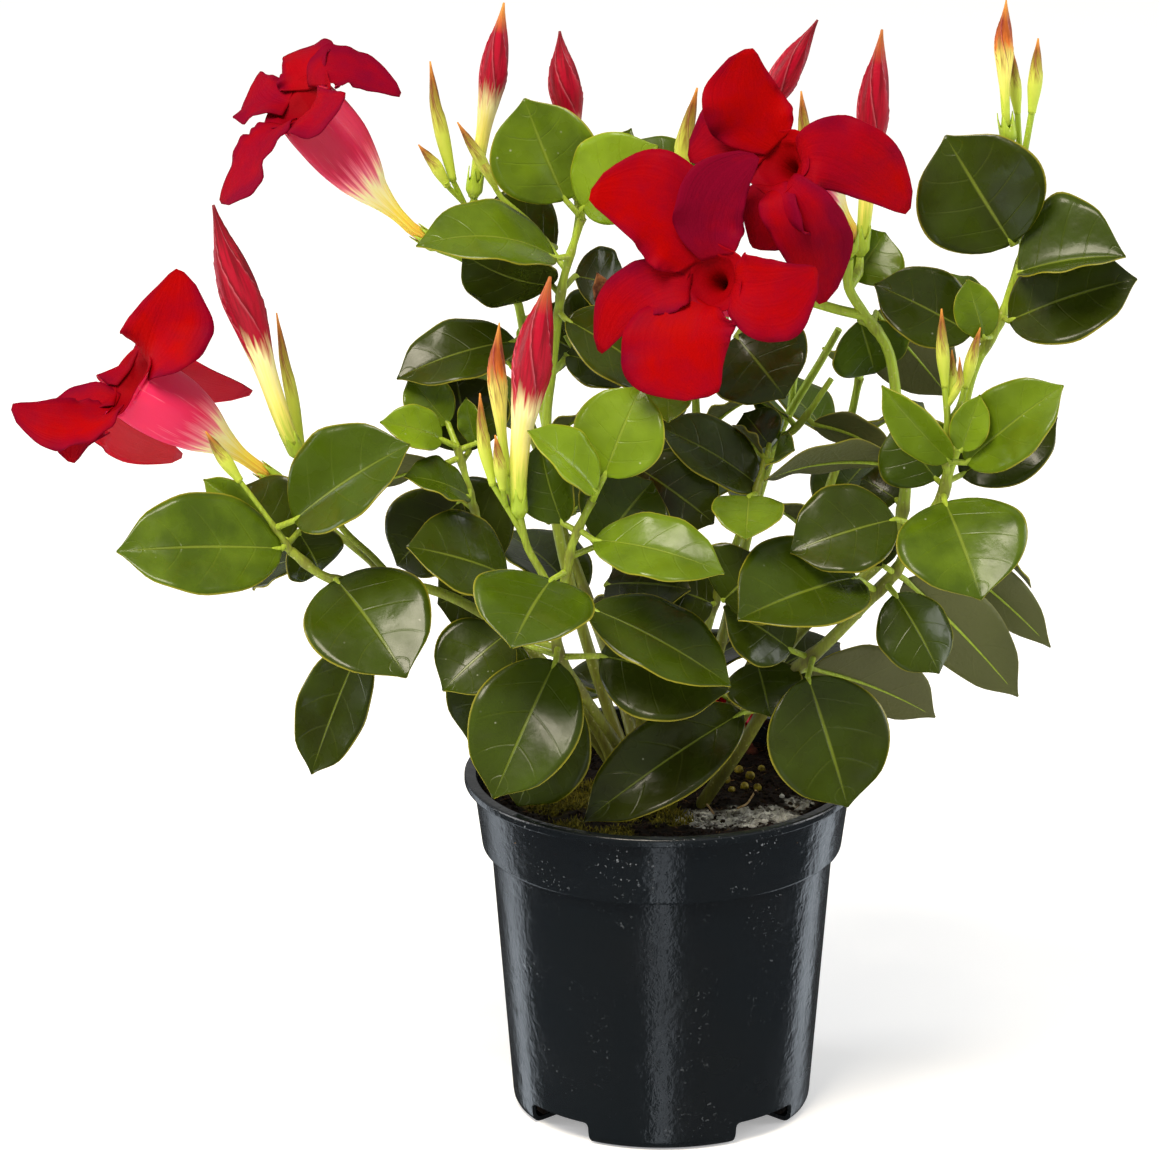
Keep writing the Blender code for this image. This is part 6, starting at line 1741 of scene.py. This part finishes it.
def litter_tree(kind):
    """Scatters crumbs, fibres or moss leaves over a surface as thickly as a named attribute says."""
    tree, add, given = geometry_tree(kind, Density="Float", Where="String", Least="Float", Most="Float",
                                     Seed="Int", Matter="Material")
    where = add("GeometryNodeInputNamedAttribute", {"Name": given["Where"]}, data_type="FLOAT")
    density = add("Math", {0: where, 1: given["Density"]}, operation="MULTIPLY")
    spread = add("GeometryNodeDistributePointsOnFaces",
                 {"Mesh": given["Geometry"], "Density": density, "Seed": given["Seed"]})
    size = add("FunctionNodeRandomValue",
               {"Min_001": given["Least"], "Max_001": given["Most"], "Seed": given["Seed"]}, out="Value_001",
               data_type="FLOAT")
    least, most = (0.0, 0.0, 0.0), (math.tau, math.tau, math.tau)
    if kind == "crumbs":
        grain = add("GeometryNodeMeshIcoSphere", {"Radius": 1.0, "Subdivisions": 1})
        bumps = add("TexNoise", {"Scale": 1.1}, out=1)
        bumps = add("VectorMath", (bumps, (0.5, 0.5, 0.5)), operation="SUBTRACT")
        grain = add("GeometryNodeSetPosition", {"Geometry": grain, "Offset": bumps})
    elif kind == "fibres":
        least, most = (1.25, -0.2, 0.0), (1.8, 0.2, math.tau)
        grain = add("GeometryNodeMeshCylinder",
                    {"Vertices": 5, "Side Segments": 4, "Radius": 0.07, "Depth": 3.0})
        bend = add("TexNoise", {"Scale": 0.8}, out=1)
        bend = add("VectorMath", (bend, (0.5, 0.5, 0.5)), operation="SUBTRACT")
        grain = add("GeometryNodeSetPosition", {"Geometry": grain, "Offset": bend})
    else:
        least, most = (-0.7, -0.7, 0.0), (0.7, 0.7, math.tau)
        grain = add("GeometryNodeMeshCone", {"Vertices": 4, "Side Segments": 2, "Radius Top": 0.05,
                                             "Radius Bottom": 0.42, "Depth": 2.6})
    lean = add("FunctionNodeRandomValue", {"Min": least, "Max": most, "Seed": given["Seed"]},
               data_type="FLOAT_VECTOR")
    placed = add("GeometryNodeInstanceOnPoints",
                 {"Points": spread, "Instance": grain, "Rotation": lean, "Scale": size})
    close_tree(add, placed, given["Matter"])
    return tree


def make_litter(surface, settings):
    """Crumbs, fibres, mineral crust and moss on the soil."""
    peat = granular("dry_peat_crumb", settings.peat, settings.fibre, 1.0, 0.9)
    crust = granular("mineral_crust", linear("#4E4A42"), settings.grit, 2.4, 0.85)
    moss = granular("moss_leaves", linear("#34360E"), settings.moss, 0.8, 0.7)
    straw = granular("peat_fibre", settings.fibre, linear("#8A6A44"), 1.2, 0.8)
    crumbs = litter_tree("crumbs")
    for name, tree, density, where, least, most, seed, matter in (
            ("soil_crumbs", crumbs, 190000.0, "bare", 0.35 * MM, settings.crumb, 3, peat),
            ("soil_fibres", litter_tree("fibres"), 22000.0, "bare", 0.9 * MM, 2.6 * MM, 5, straw),
            ("soil_crust", crumbs, 420000.0, "grit", 0.2 * MM, 1.0 * MM, 7, crust),
            ("moss_tufts", litter_tree("moss"), 1700000.0, "moss", 0.3 * MM, 1.0 * MM, 9, moss)):
        thing = new_object(name, surface.data.copy())
        apply_tree(thing, tree, {"Density": density, "Where": where, "Least": least, "Most": most,
                                 "Seed": seed, "Matter": matter})
        finish_piece(thing, [])


def make_granules(settings):
    """Round fertiliser granules, two lumps of bark and two pale roots on the soil."""
    skin = Skin()
    for column, row, radius, slot in GRANULES:
        centre = soil_place(column, row) + on_axis((0.25 * radius + 0.9) * MM)
        grid = []
        for ring in range(1, GRANULE_RINGS):
            lift = math.pi * ring / GRANULE_RINGS
            line = []
            for side in range(GRANULE_SIDES):
                turn = math.tau * side / GRANULE_SIDES
                reach = math.sin(lift)
                spoke = Vector((reach * math.cos(turn), reach * math.sin(turn), -math.cos(lift)))
                lump = 1.0 + 0.12 * noise.noise(spoke * 1.6 + centre * 900.0)
                line.append(centre + spoke * radius * lump * MM)
            grid.append(line)
        skin.add_closed(grid, centre - on_axis(radius * MM), centre + on_axis(radius * MM), slot=slot)
    matters = [granular("coated_granule", linear("#5A5012"), settings.granule, 0.9, 0.28),
               granular("bark_lump", linear("#3A1C14"), linear("#6E3A28"), 1.2, 0.8)]
    finish_piece(skin.make("soil_granules", matters), [])
    lines = []
    for points in PALE_ROOTS:
        path = smooth_path([soil_place(*place) + on_axis(2.4 * MM) for place in points], 1.0)
        lines.append([(point, 0.35, 0.5) for point in path])
    roots = polylines("pale_roots", lines)
    pale = granular("dry_root", linear("#9A7B50"), linear("#CDB489"), 0.8, 0.7)
    apply_tree(roots, stem_tree(), {"Sides": 6, "Relief": 0.1 * MM, "Rind": pale})
    finish_piece(roots, [])


def rounded(corners):
    """A profile whose corners, each (radius, height, rounding), are rounded off by arcs."""
    profile = []
    for number, (radius, height, rounding) in enumerate(corners):
        corner = Vector((radius, height))
        if not rounding:
            profile.append(corner)
            continue
        before = (Vector(corners[number - 1][:2]) - corner).normalized() * rounding
        after = (Vector(corners[number + 1][:2]) - corner).normalized() * rounding
        for step in range(6):
            share = step / 5
            profile.append(corner + before * (1.0 - share) ** 2 + after * share ** 2)
    return profile


def pot_corners(settings):
    """The pot's outline, from its underside up the outside and down the inside, with each rounding."""
    lip_floor = settings.height - settings.lip_height
    inner_foot = settings.foot_radius - settings.wall
    inner_lip = settings.band_top_radius - settings.wall
    return [
        (0.0, 0.0, 0.0),
        (settings.foot_radius, 0.0, settings.foot_rounding),
        (settings.body_top_radius, settings.band_floor, 0.3 * MM),
        (settings.band_bottom_radius, settings.band_floor, 1.2 * MM),
        (settings.band_top_radius, lip_floor, 0.4 * MM),
        (settings.lip_radius, lip_floor + 0.3 * MM, 0.7 * MM),
        (settings.lip_radius, settings.height, 0.9 * MM),
        (inner_lip + settings.lip_rounding, settings.height, 0.9 * MM),
        (inner_lip, lip_floor, 0.4 * MM),
        (settings.band_bottom_radius - settings.wall, settings.band_floor + settings.wall, 0.4 * MM),
        (settings.body_top_radius - settings.wall, settings.band_floor - settings.wall, 0.3 * MM),
        (inner_foot, settings.wall, 2.4 * MM),
        (0.0, settings.wall, 0.0),
    ]


def make_pot(settings):
    """The nursery pot, with four drain slots through its rounded foot."""
    profile = rounded(pot_corners(settings))
    sides = settings.sides
    grid = []
    for radius, height in profile[1:-1]:
        grid.append([Vector((radius * math.cos(math.tau * side / sides),
                             radius * math.sin(math.tau * side / sides), height)) for side in range(sides)])
    skin = Skin()
    skin.add_closed(grid, on_axis(profile[0].y), on_axis(profile[-1].y))
    pot = skin.make("nursery_pot", [pot_plastic(settings)])
    cutters = []
    for number in range(4):
        turn = Matrix.Rotation(math.radians(45.0 + 90.0 * number), 4, "Z")
        shift = Matrix.Translation((settings.foot_radius, 0, 0))
        size = Matrix.Diagonal((2 * settings.slot_depth, settings.slot_width, 2 * settings.slot_height, 1.0))
        box = bmesh.new()
        bmesh.ops.create_cube(box, size=1.0, matrix=turn @ shift @ size)
        runs = ((edge, edge.verts[0].co - edge.verts[1].co) for edge in box.edges)
        edges = [edge for edge, run in runs if abs(run.normalized().z) < 0.5]
        bmesh.ops.bevel(box, geom=edges, offset=SLOT_ROUNDING * MM, segments=3, affect="EDGES", profile=0.5)
        mesh = bpy.data.meshes.new("slot_cutter")
        box.to_mesh(mesh)
        box.free()
        cutters.append(new_object("slot_cutter", mesh))
        cut = pot.modifiers.new("drain slot", "BOOLEAN")
        cut.operation = "DIFFERENCE"
        cut.solver = "EXACT"
        cut.object = cutters[-1]
    keep_result(pot)
    pot.data.set_sharp_from_angle(angle=POT_SHARP_EDGE)
    for cutter in cutters:
        bpy.data.objects.remove(cutter)
    finish_piece(pot, ["pot"])


def soft_light(name, place, target, size, power, colour_code="#FFFFFF"):
    """An area light that faces a target, in metres and watts."""
    lamp = bpy.data.lights.new(name, "AREA")
    lamp.shape = "RECTANGLE"
    lamp.size, lamp.size_y = size
    lamp.energy = power
    lamp.color = linear(colour_code)
    thing = new_object(name, lamp)
    thing.location = place
    thing.rotation_euler = (Vector(target) - Vector(place)).to_track_quat("-Z", "Y").to_euler()


def stage_sheet(name, corners, material):
    """A flat sheet of the stage with four corners."""
    mesh = bpy.data.meshes.new(name)
    mesh.from_pydata(corners, [], [(0, 1, 2, 3)])
    mesh.materials.append(material)
    sheet = new_object(name, mesh)
    return sheet


def make_surroundings(settings):
    """A pale world that is dark below the horizon, and the floor."""
    floor_material = new_material("matt_white_floor", Roughness=0.75, Specular_IOR_Level=0.2,
                                  Base_Color=tuple(settings.floor), Emission_Color=WHITE,
                                  Emission_Strength=settings.floor_glow)
    half = 0.5 * settings.floor_size
    corners = [(-half, -half, 0.0), (half, -half, 0.0), (half, half, 0.0), (-half, half, 0.0)]
    # The pot mirrors what lies below the floor, which is dark there but for three panels
    stage_sheet("floor", corners, floor_material).visible_glossy = False
    world = bpy.data.worlds.new("studio")
    world.use_nodes = True
    add = functools.partial(add_node, world.node_tree)
    height = add("SeparateXYZ", (add("TexCoord", out="Generated"),), out="Z")
    sky = add("MapRange", (height, -0.05, 0.25, 0.06, settings.world_strength))
    background = world.node_tree.nodes["Background"]
    world.node_tree.links.new(sky, background.inputs["Strength"])
    background.inputs["Color"].default_value = (*WHITE, 1.0)
    bpy.context.scene.world = world


def make_reflectors(settings):
    """Three upright panels under the floor, which only the pot's plastic mirrors."""
    glow = new_material("reflector_panel", Base_Color=(0.0, 0.0, 0.0), Emission_Color=linear("#E4EEF8"),
                        Emission_Strength=settings.reflector_glow)
    low = Vector((0.0, 0.0, -PANEL_HEIGHT))
    for name, (x, y), half_width in PANELS:
        across = Vector((-y, x, 0.0)).normalized() * half_width
        middle = Vector((x, y, 0.0))
        corners = [middle - across, middle + across, middle + across + low, middle - across + low]
        panel = stage_sheet(name + "_reflector", corners, glow)
        panel.visible_camera = False
        panel.visible_diffuse = False
        panel.visible_shadow = False


def make_stage(settings):
    """The floor and world, soft lights and the photograph's camera."""
    make_surroundings(settings)
    make_reflectors(settings)
    aim = Vector(((0.5 * IMAGE_SIZE - AXIS_COLUMN) / PIXELS_PER_MM, 0.0,
                  (FOOT_ROW - 0.5 * IMAGE_SIZE) / PIXELS_PER_MM / math.cos(VIEW_ELEVATION))) * MM
    soft_light("key_softbox", (-0.45, -0.85, 1.7), aim, (0.8, 0.8), settings.key_power, "#FFF3E0")
    soft_light("left_softbox", (-1.3, 0.1, 0.5), aim, (0.5, 1.1), settings.side_power)
    soft_light("right_softbox", (1.3, 0.1, 0.5), aim, (0.5, 1.1), settings.side_power)
    camera = bpy.data.cameras.new("camera")
    camera.sensor_width = 36.0
    camera.lens = camera.sensor_width * settings.camera_distance / (IMAGE_SIZE / PIXELS_PER_MM * MM)
    camera.clip_end = 50.0
    eye = new_object("camera", camera)
    back = Vector((0.0, -math.cos(VIEW_ELEVATION), math.sin(VIEW_ELEVATION)))
    eye.location = aim + back * settings.camera_distance
    eye.rotation_euler = (-back).to_track_quat("-Z", "Y").to_euler()
    bpy.context.scene.camera = eye
    bpy.context.scene.view_settings.view_transform = "Standard"


class MANDEVILLA_OT_stems(bpy.types.Operator):
    """Make the stems, leaf stalks and calyxes"""
    bl_idname = "mandevilla.stems"
    bl_label = "Stems"

    def execute(self, context):
        settings = context.scene.mandevilla_stems
        rind = stem_skin(settings)
        plan = plant_plan(settings.step)
        make_stems(plan, settings, rind)
        make_calyxes(plan, rind)
        return {"FINISHED"}


class MANDEVILLA_OT_leaves(bpy.types.Operator):
    """Make the leaf blades"""
    bl_idname = "mandevilla.leaves"
    bl_label = "Leaves"

    def execute(self, context):
        settings = context.scene.mandevilla_leaves
        plan = plant_plan(context.scene.mandevilla_stems.step)
        make_leaves(plan, settings, [leaf_uppers(settings), leaf_undersides(settings)])
        make_bract(settings)
        return {"FINISHED"}


class MANDEVILLA_OT_blooms(bpy.types.Operator):
    """Make the blooms and the fallen petal"""
    bl_idname = "mandevilla.blooms"
    bl_label = "Blooms"

    def execute(self, context):
        settings = context.scene.mandevilla_blooms
        materials = [petal_upper(settings), petal_outside(settings)]
        for name, (_, bloom) in BLOOMS.items():
            make_bloom(name, bloom, settings, materials)
        make_fallen_petal(settings, materials)
        return {"FINISHED"}


class MANDEVILLA_OT_buds(bpy.types.Operator):
    """Make the large and the small buds"""
    bl_idname = "mandevilla.buds"
    bl_label = "Buds"

    def execute(self, context):
        settings = context.scene.mandevilla_buds
        plan = plant_plan(context.scene.mandevilla_stems.step)
        ripe = bud_skin(settings, "wrapped_petal_skin", (
            (0.0, settings.green), (0.16, settings.yellow), (0.36, linear("#F4ECA8")), (0.47, settings.red),
            (0.85, settings.red), (1.0, settings.tip)), 9.0)
        young = bud_skin(settings, "young_petal_skin", (
            (0.0, settings.green), (0.2, settings.yellow), (0.4, settings.yellow), (0.5, linear("#D8772C")),
            (0.62, settings.bronze), (1.0, settings.bronze)), 7.0)
        green = bud_skin(settings, "green_bud_skin", (
            (0.0, settings.green), (0.4, linear("#C6CE52")), (0.62, linear("#9C8A34")),
            (0.85, settings.bronze)), 6.0)
        for name, (_, bud, ripeness) in LARGE_BUDS.items():
            make_bud(name, bud, ripeness, settings, ripe if ripeness > 0.5 else young)
        make_small_buds(plan, settings, green)
        return {"FINISHED"}


class MANDEVILLA_OT_soil(bpy.types.Operator):
    """Make the soil surface and what lies on it"""
    bl_idname = "mandevilla.soil"
    bl_label = "Soil"

    def execute(self, context):
        settings = context.scene.mandevilla_soil
        peat = soil_skin(settings)
        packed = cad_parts["soil"].data
        packed.materials.clear()
        packed.materials.append(peat)
        surface = soil_surface(settings, peat)
        make_litter(surface, settings)
        make_granules(settings)
        return {"FINISHED"}


class MANDEVILLA_OT_pot(bpy.types.Operator):
    """Make the nursery pot"""
    bl_idname = "mandevilla.pot"
    bl_label = "Pot"

    def execute(self, context):
        make_pot(context.scene.mandevilla_pot)
        return {"FINISHED"}


class MANDEVILLA_OT_stage(bpy.types.Operator):
    """Make the floor, the lights and the camera"""
    bl_idname = "mandevilla.stage"
    bl_label = "Stage"

    def execute(self, context):
        make_stage(context.scene.mandevilla_stage)
        return {"FINISHED"}


class MANDEVILLA_PT_panel(bpy.types.Panel):
    """Lists the plant's operators"""
    bl_label = "Potted mandevilla"
    bl_idname = "MANDEVILLA_PT_panel"
    bl_space_type = "VIEW_3D"
    bl_region_type = "UI"
    bl_category = "Mandevilla"

    def draw(self, context):
        for operator in OPERATORS:
            self.layout.operator(operator.bl_idname)


SETTINGS = {
    "mandevilla_leaves": LeafSettings,
    "mandevilla_stems": StemSettings,
    "mandevilla_blooms": BloomSettings,
    "mandevilla_buds": BudSettings,
    "mandevilla_soil": SoilSettings,
    "mandevilla_pot": PotSettings,
    "mandevilla_stage": StageSettings,
}
OPERATORS = (MANDEVILLA_OT_stems, MANDEVILLA_OT_leaves, MANDEVILLA_OT_blooms, MANDEVILLA_OT_buds,
             MANDEVILLA_OT_soil, MANDEVILLA_OT_pot, MANDEVILLA_OT_stage)


def register():
    """Register the settings, the operators and the panel."""
    for name, group in SETTINGS.items():
        bpy.utils.register_class(group)
        setattr(bpy.types.Scene, name, bpy.props.PointerProperty(type=group))
    for operator in OPERATORS:
        bpy.utils.register_class(operator)
    bpy.utils.register_class(MANDEVILLA_PT_panel)


def unregister():
    """Take the panel, the operators and the settings away."""
    bpy.utils.unregister_class(MANDEVILLA_PT_panel)
    for operator in reversed(OPERATORS):
        bpy.utils.unregister_class(operator)
    for name, group in reversed(SETTINGS.items()):
        delattr(bpy.types.Scene, name)
        bpy.utils.unregister_class(group)


def main():
    """Make the whole plant."""
    register()
    for operator in OPERATORS:
        getattr(bpy.ops.mandevilla, operator.bl_idname.split(".")[1])()


if __name__ == "__main__":
    main()
